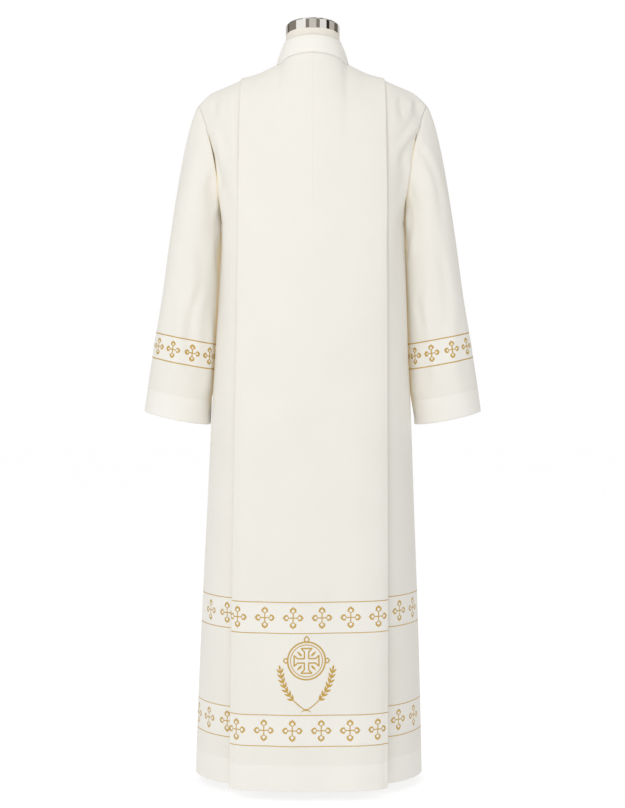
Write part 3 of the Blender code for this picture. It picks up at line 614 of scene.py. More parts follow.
def skirt_rows(count):
    heights = list(np.linspace(HEM_HEIGHT, ARMPIT_HEIGHT, count))
    heights += [HEM_TURN - TURN_ROWS, HEM_TURN, HEM_TURN + TURN_ROWS, HEM_HEIGHT + TURN_ROWS]
    return sorted(set(heights))


def garment_rows():
    skirt, yoke = ((120, 64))
    shares = np.arange(1, yoke + 1) / yoke
    return [("skirt", height) for height in skirt_rows(skirt)] + [("yoke", share) for share in shares]


def way_along(grid, origin):
    """Each column's way along the cloth, near its foot, from the column at an index."""
    lengths = arc_lengths(grid[len(grid) // 8 : len(grid) // 8 + 1], 1)[0]
    return lengths - lengths[origin]


def doubled_rows(grid, along, lifts):
    """Where the cloth is double: its hem turn, and less so the backed bands."""
    z = grid[..., 2]
    value = 1 - smooth_step((z - HEM_TURN + 0.001) / 0.002)
    for low, high in SKIRT_BANDS:
        level = z - band_lift(lifts, along, (low + high) / 2)
        value = value + 0.6 * smooth_step((level - low) / 0.003) * smooth_step((high - level) / 0.003)
    return value


def swayed(grid):
    """The grid with its skirt hung to one side, most at the hem."""
    down = np.clip(ARMPIT_HEIGHT - grid[..., 2], 0, None) / (ARMPIT_HEIGHT - HEM_HEIGHT)
    grid[..., 0] += SKIRT_SWAY * down
    return grid


def side_fullness(beyond, row):
    """How far the cloth beside the sleeve stands out, by its share of the way from pleat to seam."""
    kind, value = row
    fade = (1 - value) ** 1.3
    if kind == "skirt":
        fade = smooth_step((value - SIDE_FULL_FROM) / (SIDE_FULL_TO - SIDE_FULL_FROM))
    return SIDE_FULLNESS * fade * 2.45 * beyond**1.5 * (1 - beyond) ** 0.55


def build_back_grid():
    rows = garment_rows()
    grid, places = [], []
    on_panel = PANEL_COLUMNS + 1
    for row in rows:
        lateral, lift = pleat_path(*row_sizes(row))
        halves = {}
        for hand in (-1, 1):
            extra = np.zeros_like(lift)
            if row[0] == "skirt":
                extra[:on_panel] += fold_lift("panel", hand * lateral[:on_panel], row[1])
                outer = lateral > 1
                side = fold_lift("side", hand * (lateral - 1), row[1]) * (2 - lateral)
                extra[outer] += side[outer]
            extra += side_fullness(np.clip(lateral - 1, 0, 1), row)
            points = back_row(lateral, lift + extra, row)
            halves[hand] = points * np.array((hand, 1, 1))
        grid.append(np.concatenate([halves[-1][::-1], halves[1][1:]]))
        places.append(np.concatenate([-lateral[::-1], lateral[1:]]))
    return swayed(np.array(grid)), np.array(places)


def turn_groove(heights, turn):
    """The groove of a hem's stitching, on the grid's own normals."""
    return -GROOVE_DEPTH * np.exp(-(((heights - turn) / GROOVE_WIDTH) ** 2))


def creased_back():
    """The back with its creases, its centre seam and its hem's groove. The pleat's folds have no crease."""
    grid, places = build_back_grid()
    heights = grid[..., 2]
    relief = body_relief("back", places, heights)
    half = grid.shape[1] // 2
    column = np.arange(grid.shape[1]) - half
    relief = relief * ((np.abs(column) <= PANEL_COLUMNS) | (np.abs(column) > half - SIDE_COLUMNS))
    relief = relief - CENTRE_SEAM_DEPTH * (column == SEAM_COLUMN) * smooth_step((heights - 0.90) / 0.45)
    relief = relief + turn_groove(heights, HEM_TURN)
    grid = grid + surface_normals(grid) * relief[..., None]
    grid[..., 1] = np.minimum(grid[..., 1], -SEAM_GAP / 2)
    return grid, places


def creased_front(hand, drop):
    """One front with its creases, from one hand to the other as seen from behind."""
    outer = np.linspace(2, NECK_LATERAL, 62)[:-1]
    turn = math.pi / 2 * np.arange(NECK_COLUMNS, 0, -1) / NECK_COLUMNS
    lateral = np.concatenate([outer, NECK_LATERAL * np.sin(turn), np.linspace(0.0, -0.13, 9)])
    grid = []
    for row in garment_rows():
        near = drop * smooth_step((0.42 - lateral) / 0.25)
        points = front_row(lateral, row, near)
        if row[0] == "skirt":
            points[:, 1] += fold_lift("front", hand * lateral / 2, row[1])
        grid.append(points * np.array((hand, 1, 1)))
    grid = swayed(np.array(grid))
    places = np.broadcast_to(hand * lateral, grid.shape[:2])
    if hand > 0:
        grid, places = grid[:, ::-1], places[:, ::-1]
    relief = body_relief("front", places, grid[..., 2])
    grid = grid + surface_normals(grid) * relief[..., None]
    grid[..., 1] = np.maximum(grid[..., 1], SEAM_GAP / 2)
    return grid, places


def side_warmth(places, heights):
    """Where the body's cloth beside the sleeve gets painted shade, a tan colour and a faint tan glow, in the
    crevice between them.
    """
    window = smooth_step((heights - 0.74) / 0.12) * smooth_step((1.33 - heights) / 0.03)
    high = smooth_step((heights - 1.19) / 0.05)
    return smooth_step((np.abs(places) - 1.86 - 0.09 * high) / (0.10 - 0.05 * high)) * window


def seam_roll(edge_distance):
    """A soft roll beside a seam: none at the edge, most a few millimetres in."""
    u = edge_distance / SEAM_ROLL_WIDTH
    return SEAM_ROLL_HEIGHT * u * np.exp(1 - u)


def armhole_point(share, side):
    section = table_at(BODY_SECTIONS, "height", ARMPIT_HEIGHT)
    low = np.array([[section.half_width, 0.0, ARMPIT_HEIGHT]])
    reach = np.array(ARMHOLE_BACK_LOW if side < 0 else ARMHOLE_FRONT_LOW)
    curve, _ = yoke_curve(np.array([2.0]), side, low, reach)
    return bezier(*curve, np.array([share]))[0]


def sleeve_ring(ring, turn):
    across = ring.half_width * math.cos(turn)
    behind = ring.half_depth * math.sin(turn)
    x = ring.out + across * math.cos(RING_TILT)
    y = ring.forward - behind * math.cos(ring.lean)
    z = ring.height + across * math.sin(RING_TILT) - behind * math.sin(ring.lean)
    return np.array((x, y, z))


def sleeve_cap(turns, count):
    """Rows of points from the armhole down to the sleeve's top ring."""
    shares = np.array([step / count for step in range(count)])
    top, next_ring = SLEEVE_RINGS[:2]
    columns = []
    for turn in turns:
        side = -1 if turn <= math.pi else 1
        along = 1 - (turn if side < 0 else 2 * math.pi - turn) / math.pi
        sideways = abs(math.sin(turn))
        spread = 0.27 * sideways**2
        outward = unit(np.array((0.60 + spread, 0.30 * side * sideways, spread - 0.82)))
        start = armhole_point(along, side) + 0.0002 * outward
        start = start + (1 - smooth_step(along / 0.45)) * np.array((0.0008, 0.0, 0.0002))
        end = sleeve_ring(top, turn)
        run = unit(end - sleeve_ring(next_ring, turn))
        length = np.linalg.norm(end - start)
        near = start + (0.13 + 0.12 * sideways) * length * outward
        columns.append(bezier(start, near, end + 0.42 * length * run, end, shares))
    return np.array(columns).transpose(1, 0, 2)


def build_sleeve_grid(hand):
    """One sleeve from its cuff up to the armhole, closed round, with its turns and its levels."""
    sides, caps, rings = ((120, 60, 90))
    turns = [2 * math.pi * k / sides for k in range(sides)]
    heights = list(np.linspace(SLEEVE_RINGS[0].height, CUFF_LEVEL, rings))
    heights += [CUFF_TURN + TURN_ROWS, CUFF_TURN, CUFF_TURN - TURN_ROWS]
    heights = sorted(set(heights), reverse=True)
    tube = []
    for level in heights:
        ring = table_at(SLEEVE_RINGS, "height", level)
        tube.append([sleeve_ring(ring, turn) for turn in turns])
    grid = np.concatenate([sleeve_cap(turns, caps), np.array(tube)])[::-1, ::-1]
    levels = np.concatenate([np.full(caps, CAP_LEVEL), np.array(heights)])[::-1, None]
    degrees = np.degrees(np.array(turns))[::-1]
    places = np.broadcast_to(degrees, grid.shape[:2])
    creases = [crease for crease in SLEEVE_CREASES if crease.hand == hand]
    relief = crease_relief(creases, places, grid[..., 2], CREASE_SPREADS["sleeve"])
    from_top = arc_lengths(grid[::-1], 0)[::-1]
    relief = relief * smooth_step(from_top / 0.02) + seam_roll(from_top) + turn_groove(levels, CUFF_TURN)
    grid = grid + surface_normals(grid, closed=True) * relief[..., None]
    grid = hung_by_body(grid, degrees, hand)
    levels = np.broadcast_to(levels, grid.shape[:2])
    if hand < 0:
        return (grid * np.array((-1, 1, 1)))[:, ::-1], places[:, ::-1], levels[:, ::-1]
    return grid, places, levels


def sleeve_shares(sleeve, turns, levels):
    """Where a sleeve's cloth lies double, and where it gets painted shade, a tan colour and a faint tan
    glow, in its crevice by the body and at its armhole seam.
    """
    low, high = SLEEVE_BAND
    doubled = (levels < CUFF_TURN) * 1.0 + 0.6 * ((levels > low) & (levels < high))
    beside = smooth_step((28 - np.abs(turns - 180)) / 22) * smooth_step((levels - CUFF_LEVEL - 0.02) / 0.03)
    from_top = arc_lengths(sleeve[::-1], 0)[::-1]
    at_seam = smooth_step((0.0035 - from_top) / 0.002) * smooth_step((1.32 - sleeve[..., 2]) / 0.08)
    return {"doubled": doubled, "warm": np.maximum(beside, 0.7 * at_seam)}


def body_side(height, hand):
    """The body's outline beside its side seam at a height, as depths and widths in one hand's frame."""
    section = table_at(BODY_SECTIONS, "height", height)
    behind = back_base(np.linspace(1.2, 2.0, 24), section)
    turn = np.linspace(math.pi / 2, math.pi / 4, 24)
    widths = section.half_width * np.sin(turn) ** 0.92
    depths = section.front_depth * np.maximum(np.cos(turn), 0.0) ** 0.88
    sway = hand * SKIRT_SWAY * max(0.0, ARMPIT_HEIGHT - height) / (ARMPIT_HEIGHT - HEM_HEIGHT)
    return np.append(behind[:, 1], depths[1:]), np.append(behind[:, 0], widths[1:]) + sway


def hung_by_body(grid, degrees, hand):
    """The sleeve with its inner wall moved in until it hangs just clear of the body."""
    inner = (degrees > 120) & (degrees < 240)
    weight = smooth_step((1 - np.cos(np.radians(degrees))) / 2)
    for row in grid:
        height = row[inner, 2].mean()
        depths, widths = body_side(height, hand)
        gap = (row[inner, 0] - np.interp(row[inner, 1], depths, widths)).min()
        swing = CUFF_SWING[hand] * np.clip((SWING_FROM - height) / (SWING_FROM - SWING_TO), 0, 1)
        row[:, 0] -= max(0.0, gap - SLEEVE_CLEARANCE - swing) * weight
    return grid


class Tree:
    """The nodes of a material or a world, with short ways to add and join them."""

    def __init__(self, owner):
        owner.use_nodes = True
        self.nodes, self.links = owner.node_tree.nodes, owner.node_tree.links

    def set(self, node, inputs):
        for key, value in inputs.items():
            if isinstance(value, bpy.types.NodeSocket):
                self.links.new(value, node.inputs[key])
            else:
                node.inputs[key].default_value = value

    def add(self, kind, inputs=None, **settings):
        made = self.nodes.new("ShaderNode" + kind)
        for key, value in settings.items():
            setattr(made, key, value)
        self.set(made, inputs or {})
        return made

    def math(self, operation, *values):
        return self.add("Math", dict(enumerate(values)), operation=operation).outputs[0]

    def mix(self, share, first, second, blend="MIX"):
        inputs = {"Factor": share, "A": first, "B": second}
        return self.add("Mix", inputs, data_type="RGBA", blend_type=blend).outputs["Result"]

    def ramp(self, share, low, high, start=0.0, end=1.0):
        made = self.add("ValToRGB", {0: share})
        for stop, place, colour in zip(made.color_ramp.elements, (start, end), (low, high)):
            stop.position, stop.color = place, colour
        return made

    def texture(self, kind, inputs, **settings):
        """A texture on the object's own sizes."""
        place = self.add("TexCoord").outputs["Object"]
        return self.add(kind, {"Vector": place, **inputs}, **settings).outputs["Fac"]

    def attribute(self, name):
        return self.add("Attribute", attribute_name=name).outputs["Fac"]

    def thread(self, axis, pitch):
        """Threads side by side along an axis of the cloth's own sizes, as a wave of a pitch in metres."""
        sizes = self.add("UVMap", uv_map="cloth").outputs["UV"]
        way = self.add("SeparateXYZ", {0: sizes}).outputs[axis]
        return self.math("SINE", self.math("MULTIPLY", way, 2 * math.pi / pitch))

    def bump(self, height, strength, distance):
        return self.add("Bump", {"Height": height, "Strength": strength, "Distance": distance}).outputs[0]


def new_material(name):
    made = bpy.data.materials.new(name)
    tree = Tree(made)
    return made, tree, tree.nodes["Principled BSDF"]


def cloth_material():
    """A plain weave, paler where it lies double. In the crevices by the sleeves it has painted light: a tan
    base colour standing in for their shade, and a faint tan glow standing in for light coming through the
    thin cloth.
    """
    made, tree, shader = new_material("ivory_cloth")
    tone = tree.mix(tree.attribute("doubled"), (0.845, 0.820, 0.757, 1), (0.880, 0.856, 0.800, 1))
    cloud = tree.texture("TexNoise", {"Scale": 7.0, "Detail": 3.0})
    shade = tree.ramp(cloud, (0.972, 0.972, 0.968, 1), (1, 1, 1, 1), 0.3, 0.7).outputs[0]
    tone = tree.mix(1.0, tone, shade, "MULTIPLY")
    # Painted shade and glow in the crevices beside the sleeves: the base colour turns tan and the cloth
    # gives off a faint tan emission
    crevice_light_share = tree.attribute("warm")
    threads = tree.math("MULTIPLY", tree.thread("X", WEAVE_PITCH), tree.thread("Y", WEAVE_PITCH))
    weave = tree.math("ADD", threads, tree.texture("TexNoise", {"Scale": 900.0, "Detail": 2.0}))
    inputs = {
        "Base Color": tree.mix(crevice_light_share, tone, (0.82, 0.71, 0.50, 1)),
        "Emission Strength": tree.math("MULTIPLY", crevice_light_share, 0.13),
        "Emission Color": (0.80, 0.69, 0.48, 1),
        "Roughness": 0.72,
        "Specular IOR Level": 0.25,
        "Sheen Weight": 0.12,
        "Sheen Roughness": 0.5,
        "Normal": tree.bump(weave, 0.35, 0.00006),
    }
    tree.set(shader, inputs)
    return made


def gold_material():
    """Metallic embroidery thread: fine stitches lie across each stroke."""
    made, tree, shader = new_material("gold_thread")
    wave = tree.thread("X", THREAD_PITCH)
    share = tree.math("MULTIPLY_ADD", wave, 0.5, 0.5)
    inputs = {
        "Base Color": tree.ramp(share, (0.51, 0.315, 0.060, 1), (0.72, 0.490, 0.125, 1)).outputs[0],
        "Metallic": 0.35,
        "Roughness": 0.48,
        "Specular IOR Level": 0.25,
        "Normal": tree.bump(wave, 0.5, 0.00012),
    }
    tree.set(shader, inputs)
    return made


def jersey_material():
    made, tree, shader = new_material("beige_jersey")
    wave = tree.texture("TexWave", {"Scale": 420.0, "Distortion": 0.6}, bands_direction="X")
    tone = tree.ramp(wave, (0.75, 0.70, 0.61, 1), (0.83, 0.79, 0.71, 1)).outputs[0]
    tree.set(shader, {"Base Color": tone, "Roughness": 0.85, "Normal": tree.bump(wave, 0.3, 0.0001)})
    return made


def metal_material(name, tone, scale, detail, smoothest, roughest):
    made, tree, shader = new_material(name)
    noise = tree.texture("TexNoise", {"Scale": scale, "Detail": detail})
    roughness = tree.ramp(noise, (smoothest,) * 3 + (1,), (roughest,) * 3 + (1,)).outputs[0]
    tree.set(shader, {"Base Color": tone, "Metallic": 1.0, "Roughness": roughness})
    return made


def floor_material():
    made, tree, shader = new_material("pale_floor")
    inputs = {
        "Base Color": (0.34, 0.34, 0.34, 1),
        "Roughness": 0.9,
        "Specular IOR Level": 0.0,
        "Emission Color": (1, 1, 1, 1),
        "Emission Strength": 0.80,
    }
    tree.set(shader, inputs)
    return made


def set_camera():
    data = bpy.data.cameras.new("camera")
    made = bpy.data.objects.new("camera", data)
    bpy.context.scene.collection.objects.link(made)
    data.sensor_width = 36.0
    data.lens = PIXELS_AWAY * data.sensor_width / IMAGE_HEIGHT
    data.clip_end = 60.0
    made.location = (CAMERA_SIDEWAYS, -CAMERA_DISTANCE, CAMERA_HEIGHT)
    made.rotation_euler = (math.pi / 2, 0.0, 0.0)
    bpy.context.scene.camera = made


# What the studio shows in a mirror, by direction round the object in degrees: 0 is towards the camera
STUDIO_BANDS = table(
    "start grey",
    (-180, 0.62),
    (-144, 0.12),
    (-118, 0.27),
    (-82, 1.05),
    (-32, 0.27),
    (-18, 0.68),
    (13, 0.26),
    (27, 0.92),
    (60, 0.03),
    (74, 0.55),
    (114, 0.14),
    (134, 0.70),
)
BAND_EDGE = 0.004


def set_world():
    """Soft light that differs a little by direction, white to the camera and banded in a mirror."""
    world = bpy.data.worlds.new("studio")
    bpy.context.scene.world = world
    tree = Tree(world)
    way = tree.add("SeparateXYZ", {0: tree.add("TexCoord").outputs["Generated"]}).outputs
    soft = tree.math("MULTIPLY", way["X"], -0.12)
    soft = tree.math("ADD", soft, tree.math("MULTIPLY", way["Z"], 0.06))
    soft = tree.math("ADD", soft, tree.math("MULTIPLY", way["Y"], -0.04))
    soft = tree.math("ADD", soft, 0.53)
    turn = tree.math("ARCTAN2", way["X"], tree.math("MULTIPLY", way["Y"], -1.0))
    share = tree.math("ADD", tree.math("DIVIDE", turn, 2 * math.pi), 0.5)
    points = []
    ends = [band.start for band in STUDIO_BANDS[1:]] + [180]
    for band, end in zip(STUDIO_BANDS, ends):
        points.append(((band.start + 180) / 360 + BAND_EDGE, band.grey))
        points.append(((end + 180) / 360 - BAND_EDGE, band.grey))
    first, last = points[0], points[-1]
    ramp = tree.ramp(share, (first[1],) * 3 + (1,), (last[1],) * 3 + (1,), first[0], last[0])
    for place, grey in points[1:-1]:
        dim = max(0.0, 1 - grey)
        tone = (grey, grey * (0.985 - 0.10 * dim), grey * (0.96 - 0.24 * dim), 1)
        ramp.color_ramp.elements.new(place).color = tone
    path = tree.add("LightPath").outputs
    mirror = tree.mix(path["Is Glossy Ray"], soft, ramp.outputs[0])
    seen = tree.mix(path["Is Camera Ray"], mirror, (1, 1, 1, 1))
    tree.set(tree.nodes["Background"], {"Color": seen, "Strength": 1.0})


def area_light(name, place, aim, size, power):
    data = bpy.data.lights.new(name, "AREA")
    data.shape = "RECTANGLE"
    data.size, data.size_y = size
    data.energy = power
    made = bpy.data.objects.new(name, data)
    bpy.context.scene.collection.objects.link(made)
    made.location = place
    made.rotation_euler = (Vector(aim) - Vector(place)).to_track_quat("-Z", "Y").to_euler()
    made.visible_glossy = False


LIGHTS = table(
    "name place aim size power",
    ("key", (-1.1, -3.0, 3.0), (0.0, 0.0, 1.1), (2.2, 1.6), 30.0),
    ("top", (0.3, -0.6, 3.4), (0.0, 0.0, 1.0), (1.6, 1.6), 8.0),
    ("fill", (-0.4, -4.2, 1.3), (0.0, 0.0, 0.8), (2.6, 2.0), 14.0),
    ("behind", (0.5, 3.6, 2.4), (0.0, 0.0, 0.9), (2.6, 1.8), 18.0),
)


def set_stage():
    size, below = 30.0, -0.0005
    corners = [(-size, -size, below), (size, -size, below), (size, size, below), (-size, size, below)]
    floor = add_mesh("floor", corners, [(0, 1, 2, 3)])
    floor.data.materials.append(floor_material())
    for light in LIGHTS:
        area_light(*light)


class Ribbon:
    """Raised strokes of thread, gathered into one mesh. A stroke is a line of points with their normals
    and its width at each point."""

    PROFILE = ((-0.5, -0.35), (-0.42, 0.45), (-0.18, 0.95), (0.18, 0.95), (0.42, 0.45), (0.5, -0.35))
    SEAT = 0.0002
    FULL_WIDTH = 0.0016

    def __init__(self):
        self.vertices, self.faces, self.sizes, self.count = [], [], [], 0

    def stroke(self, points, normals, widths, height, closed=False):
        if closed:
            ahead = np.roll(points, -1, axis=0) - np.roll(points, 1, axis=0)
        else:
            ahead = np.gradient(points, axis=0)
        side = unit(np.cross(normals, unit(ahead)))
        widths = np.broadcast_to(np.asarray(widths, float), len(points))
        tall = height * np.minimum(1.0, widths / self.FULL_WIDTH)
        rows = []
        for place, lift in self.PROFILE:
            rise = self.SEAT + tall * lift
            rows.append(points + side * (widths * place)[:, None] + normals * rise[:, None])
        block = np.stack(rows, axis=1)
        n, k = block.shape[:2]
        i, c = np.arange(n if closed else n - 1)[:, None], np.arange(k - 1)[None, :]
        j = (i + 1) % n
        corners = np.stack([i * k + c, i * k + c + 1, j * k + c + 1, j * k + c], axis=-1)
        self.faces.append(corners.reshape(-1, 4) + self.count)
        self.vertices.append(block.reshape(-1, 3))
        across = np.broadcast_to(np.arange(k) * 0.0005, (n, k))
        along = np.broadcast_to(lengths_of(points)[:, None], (n, k))
        self.sizes.append(np.stack([along, across], axis=-1).reshape(-1, 2))
        self.count += n * k

    def build(self, name, look):
        parts = (np.concatenate(rows) for rows in (self.vertices, self.faces, self.sizes))
        made = add_mesh(name, *parts)
        made.data.materials.append(look)
        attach(made, "root")


def lengths_of(points):
    """The way along a line of points, at each of them."""
    return np.concatenate([[0], np.cumsum(np.linalg.norm(np.diff(points, axis=0), axis=1))])


def resampled(rows, lengths, places):
    return np.stack([np.interp(places, lengths, rows[:, i]) for i in range(rows.shape[1])], axis=-1)


def band_lift(lifts, along, level):
    """How far up a stitched line at a level lies, at arrays of the way along the cloth."""
    if not lifts:
        return 0 * along
    ways = [row.along for row in lifts]
    lower = np.interp(along, ways, [row.lower for row in lifts])
    upper = np.interp(along, ways, [row.upper for row in lifts])
    middles = [(low + high) / 2 for low, high in SKIRT_BANDS]
    share = np.clip((level - middles[1]) / (middles[0] - middles[1]), 0.0, 1.0)
    faded = smooth_step((level - HEM_HEIGHT) / (middles[1] - HEM_HEIGHT))
    return (lower + (upper - lower) * share) * faded


class Cloth:
    """A grid of cloth to stitch on, with the height of each row. Along is each column's way along the cloth
    from its middle, lifts is how far stitched lines ride up there, and facing is -1 where the grid's own
    normals point into the garment."""

    def __init__(self, grid, heights, closed=False, along=None, lifts=None, facing=1):
        order = np.argsort(heights)
        self.grid, self.key, self.closed = grid[order], heights[order], closed
        self.normals = surface_normals(grid, closed)[order] * facing
        self.along = np.zeros(grid.shape[1]) if along is None else along
        self.lifts = lifts

    def line(self, level):
        """The line of points at one level, with normals and lengths."""
        at = level + band_lift(self.lifts, self.along, level)
        i = np.clip(np.searchsorted(self.key, at) - 1, 0, len(self.key) - 2)
        share = ((at - self.key[i]) / (self.key[i + 1] - self.key[i]))[:, None]
        column = np.arange(self.grid.shape[1])
        points = self.grid[i, column] * (1 - share) + self.grid[i + 1, column] * share
        normals = unit(self.normals[i, column] * (1 - share) + self.normals[i + 1, column] * share)
        if self.closed:
            points = np.concatenate([points, points[:1]])
            normals = np.concatenate([normals, normals[:1]])
        return points, normals, lengths_of(points)


def patch(cloth, origin, offset, level, reach, steps=9):
    """A small square of cloth, as a function from its own (across, up) to point and normal. Its middle is
    at a level, offset from where origin finds the line's own origin."""
    ways = np.linspace(-reach, reach, steps)
    points = np.zeros((steps, steps, 3))
    normals = np.zeros((steps, steps, 3))
    for r, up in enumerate(ways):
        row, lean, lengths = cloth.line(level + up)
        places = origin(row, lengths) + offset + ways
        if cloth.closed:
            places = places % lengths[-1]
        points[r], normals[r] = resampled(row, lengths, places), resampled(lean, lengths, places)

    def sample(field, across, up):
        ways = (across + reach) / (2 * reach), (up + reach) / (2 * reach)
        u, v = (np.clip(way * (steps - 1), 0, steps - 1.0001) for way in ways)
        i, j = u.astype(int), v.astype(int)
        s, t = (u - i)[:, None], (v - j)[:, None]
        low = field[j, i] * (1 - s) + field[j, i + 1] * s
        high = field[j + 1, i] * (1 - s) + field[j + 1, i + 1] * s
        return low * (1 - t) + high * t

    def place(across, up):
        return sample(points, across, up), unit(sample(normals, across, up))

    return place


# One arm of the bands' cross, charted on its own axis in millimetres: out along the arm, to one side of it
# and how wide the stroke is. The bud at its end is half of a mirrored pair.
ARM_STEM = table("out aside width", (0.0, 0.0, 2.7), (9.2, 0.0, 2.7))
ARM_BUD = table(
    "out aside width",
    (8.4, 0.0, 2.0),
    (10.3, 2.4, 2.2),
    (12.0, 4.5, 3.4),
    (14.4, 4.9, 4.4),
    (16.8, 3.5, 4.8),
    (18.6, 0.5, 4.8),
)
BUD_TIP = table("out aside width", (19.4, 0.0, 3.6), (22.2, 0.0, 0.6))
BUD_CORNER = table("out aside width", (12.4, 4.8, 3.4), (11.2, 7.2, 0.6))


def stitch_path(place, line, ribbon, spin=0.0, scale=1.0, bold=1.0, closed=False, height=STITCH_RISE):
    """One stroke of charted stitches, turned by spin, scaled and laid on the cloth; bold widens it."""
    rows = np.array(line, float)
    if closed:
        rows = np.concatenate([rows, rows[:1]])
    fine = []
    for a, b in zip(rows[:-1], rows[1:]):
        count = max(2, int(np.linalg.norm(b[:2] - a[:2]) * scale / 1.1))
        fine += [a + (b - a) * i / count for i in range(count)]
    fine = np.array(fine if closed else fine + [rows[-1]]) * 0.001 * scale
    across = fine[:, 0] * math.cos(spin) - fine[:, 1] * math.sin(spin)
    up = fine[:, 0] * math.sin(spin) + fine[:, 1] * math.cos(spin)
    points, normals = place(across, up)
    ribbon.stroke(points, normals, fine[:, 2] * bold, height, closed)


def rounded(line, times=1):
    """Corner cutting, so that a charted outline runs smoothly."""
    line = np.array(line, float)
    for _ in range(times):
        new = [line[0]]
        for a, b in zip(line[:-1], line[1:]):
            new += [a * 0.75 + b * 0.25, a * 0.25 + b * 0.75]
        line = np.array(new + [line[-1]])
    return line


def mirrored(line):
    return np.array(line, float) * np.array((1, -1, 1))


def stitch_cross(place, ribbon, scale=1.0, bold=1.0):
    bud = rounded(ARM_BUD)
    for quarter in range(4):
        spin = math.pi / 2 * quarter
        stretch = scale * (1.0 if quarter % 2 else 0.95)
        for line in (ARM_STEM, bud, mirrored(bud), BUD_TIP, BUD_CORNER, mirrored(BUD_CORNER)):
            stitch_path(place, line, ribbon, spin, stretch, bold)


# The emblem between the bands, charted in millimetres from its centre: a ringed cross over ears of wheat
EMBLEM_SHIFT = -0.006
RING_CENTRE = 27.0
RING_RADII = (36.5, 31.0)
CROSS_REACH = 24.0
CROSS_WAIST = 4.2
CROSS_FLARE = 10.5
EAR_LINE = ((0.0, -70.0), (-13.0, -61.0), (-27.0, -48.0), (-39.0, -31.0), (-47.0, -12.0), (-51.0, 8.0))
EAR_GRAINS = 7
GRAIN_WIDTH = 4.6
LEAF_PROFILE = table(
    "out aside",
    (0.0, 0.0),
    (0.25, 0.42),
    (0.55, 0.5),
    (0.85, 0.24),
    (1.0, 0.0),
    (0.85, -0.24),
    (0.55, -0.5),
    (0.25, -0.42),
)


def along_line(line, share):
    """A point and its direction on a line of points, by the share of its length."""
    line = np.array(line, float)
    lengths = lengths_of(line)
    near, point, far = resampled(line, lengths, (share + np.array((-0.03, 0.0, 0.03))) * lengths[-1])
    return point, unit(far - near)


def leaf_outline(point, way, length, width, stroke):
    """A pointed leaf as a closed outline of stitches, from its foot at a point along a way."""
    aside = np.array((-way[1], way[0]))
    return [tuple(point + way * length * a + aside * width * b) + (stroke,) for a, b in LEAF_PROFILE]


def turned(way, angle):
    x, y = way
    return np.array((x * math.cos(angle) - y * math.sin(angle), x * math.sin(angle) + y * math.cos(angle)))


def grain(point, way, length, width=GRAIN_WIDTH):
    """A grain of wheat as one fat stroke of stitches, pointed at both ends."""
    shares = np.linspace(0, 1, 7)
    return [tuple(point + way * length * a) + (0.6 + width * math.sin(math.pi * a**0.8),) for a in shares]


def stitch_emblem(place, ribbon):
    def sew(line, closed=False):
        stitch_path(place, line, ribbon, closed=closed, height=EMBLEM_RISE)

    for radius, stroke in zip(RING_RADII, (3.6, 2.2)):
        turns = [2 * math.pi * k / 72 for k in range(72)]
        ring = [(radius * math.cos(t), RING_CENTRE + radius * math.sin(t), stroke) for t in turns]
        sew(ring, closed=True)

    # An equal-armed cross with flared ends
    inner, outer = (CROSS_REACH * 0.72, CROSS_WAIST), (CROSS_REACH, CROSS_FLARE)
    arm = (inner, outer, (outer[0], -outer[1]), (inner[0], -inner[1]), (CROSS_WAIST, -CROSS_WAIST))
    outline = []
    for quarter in range(4):
        spin = math.pi / 2 * quarter
        for out, aside in arm:
            x = out * math.cos(spin) + aside * math.sin(spin)
            y = out * math.sin(spin) - aside * math.cos(spin)
            outline.append((x, RING_CENTRE + y, 3.3))
    sew(outline, closed=True)

    # Leaves between the arms and buds round the ring, with none at its foot
    centre = np.array((0.0, RING_CENTRE))
    top, foot = 2, 6
    for k in range(8):
        turn = math.pi / 4 * k
        way = np.array((math.cos(turn), math.sin(turn)))
        if k % 2:
            sew(grain(centre + way * 12.5, way, 13.5))
        elif k != foot:
            length = 11.5 if k == top else 8.5
            sew(leaf_outline(centre + way * (RING_RADII[0] - 0.5), way, length, 9.0, 3.0), closed=True)

    # Two ears of wheat that cross below the ring
    for hand in (-1, 1):
        stem = [(hand * x, y) for x, y in EAR_LINE]
        sew(rounded([point + (2.6,) for point in stem], 2))
        for k in range(EAR_GRAINS):
            point, way = along_line(stem, 0.34 + 0.60 * k / (EAR_GRAINS - 1))
            for lean in (-0.62, 0.62):
                sew(grain(point, turned(way, lean), 12.0))
        sew(grain(np.array(stem[-1]), way, 11.0))
        sew(((0.0, -67.0, 3.0), (hand * 10.0, -73.0, 1.2)))


def declare_sheet(grid, closed):
    """Joins a closed grid's first column on again at its end, and does nothing more with it."""
    if closed:
        grid = np.concatenate([grid, grid[:, :1]], axis=1)


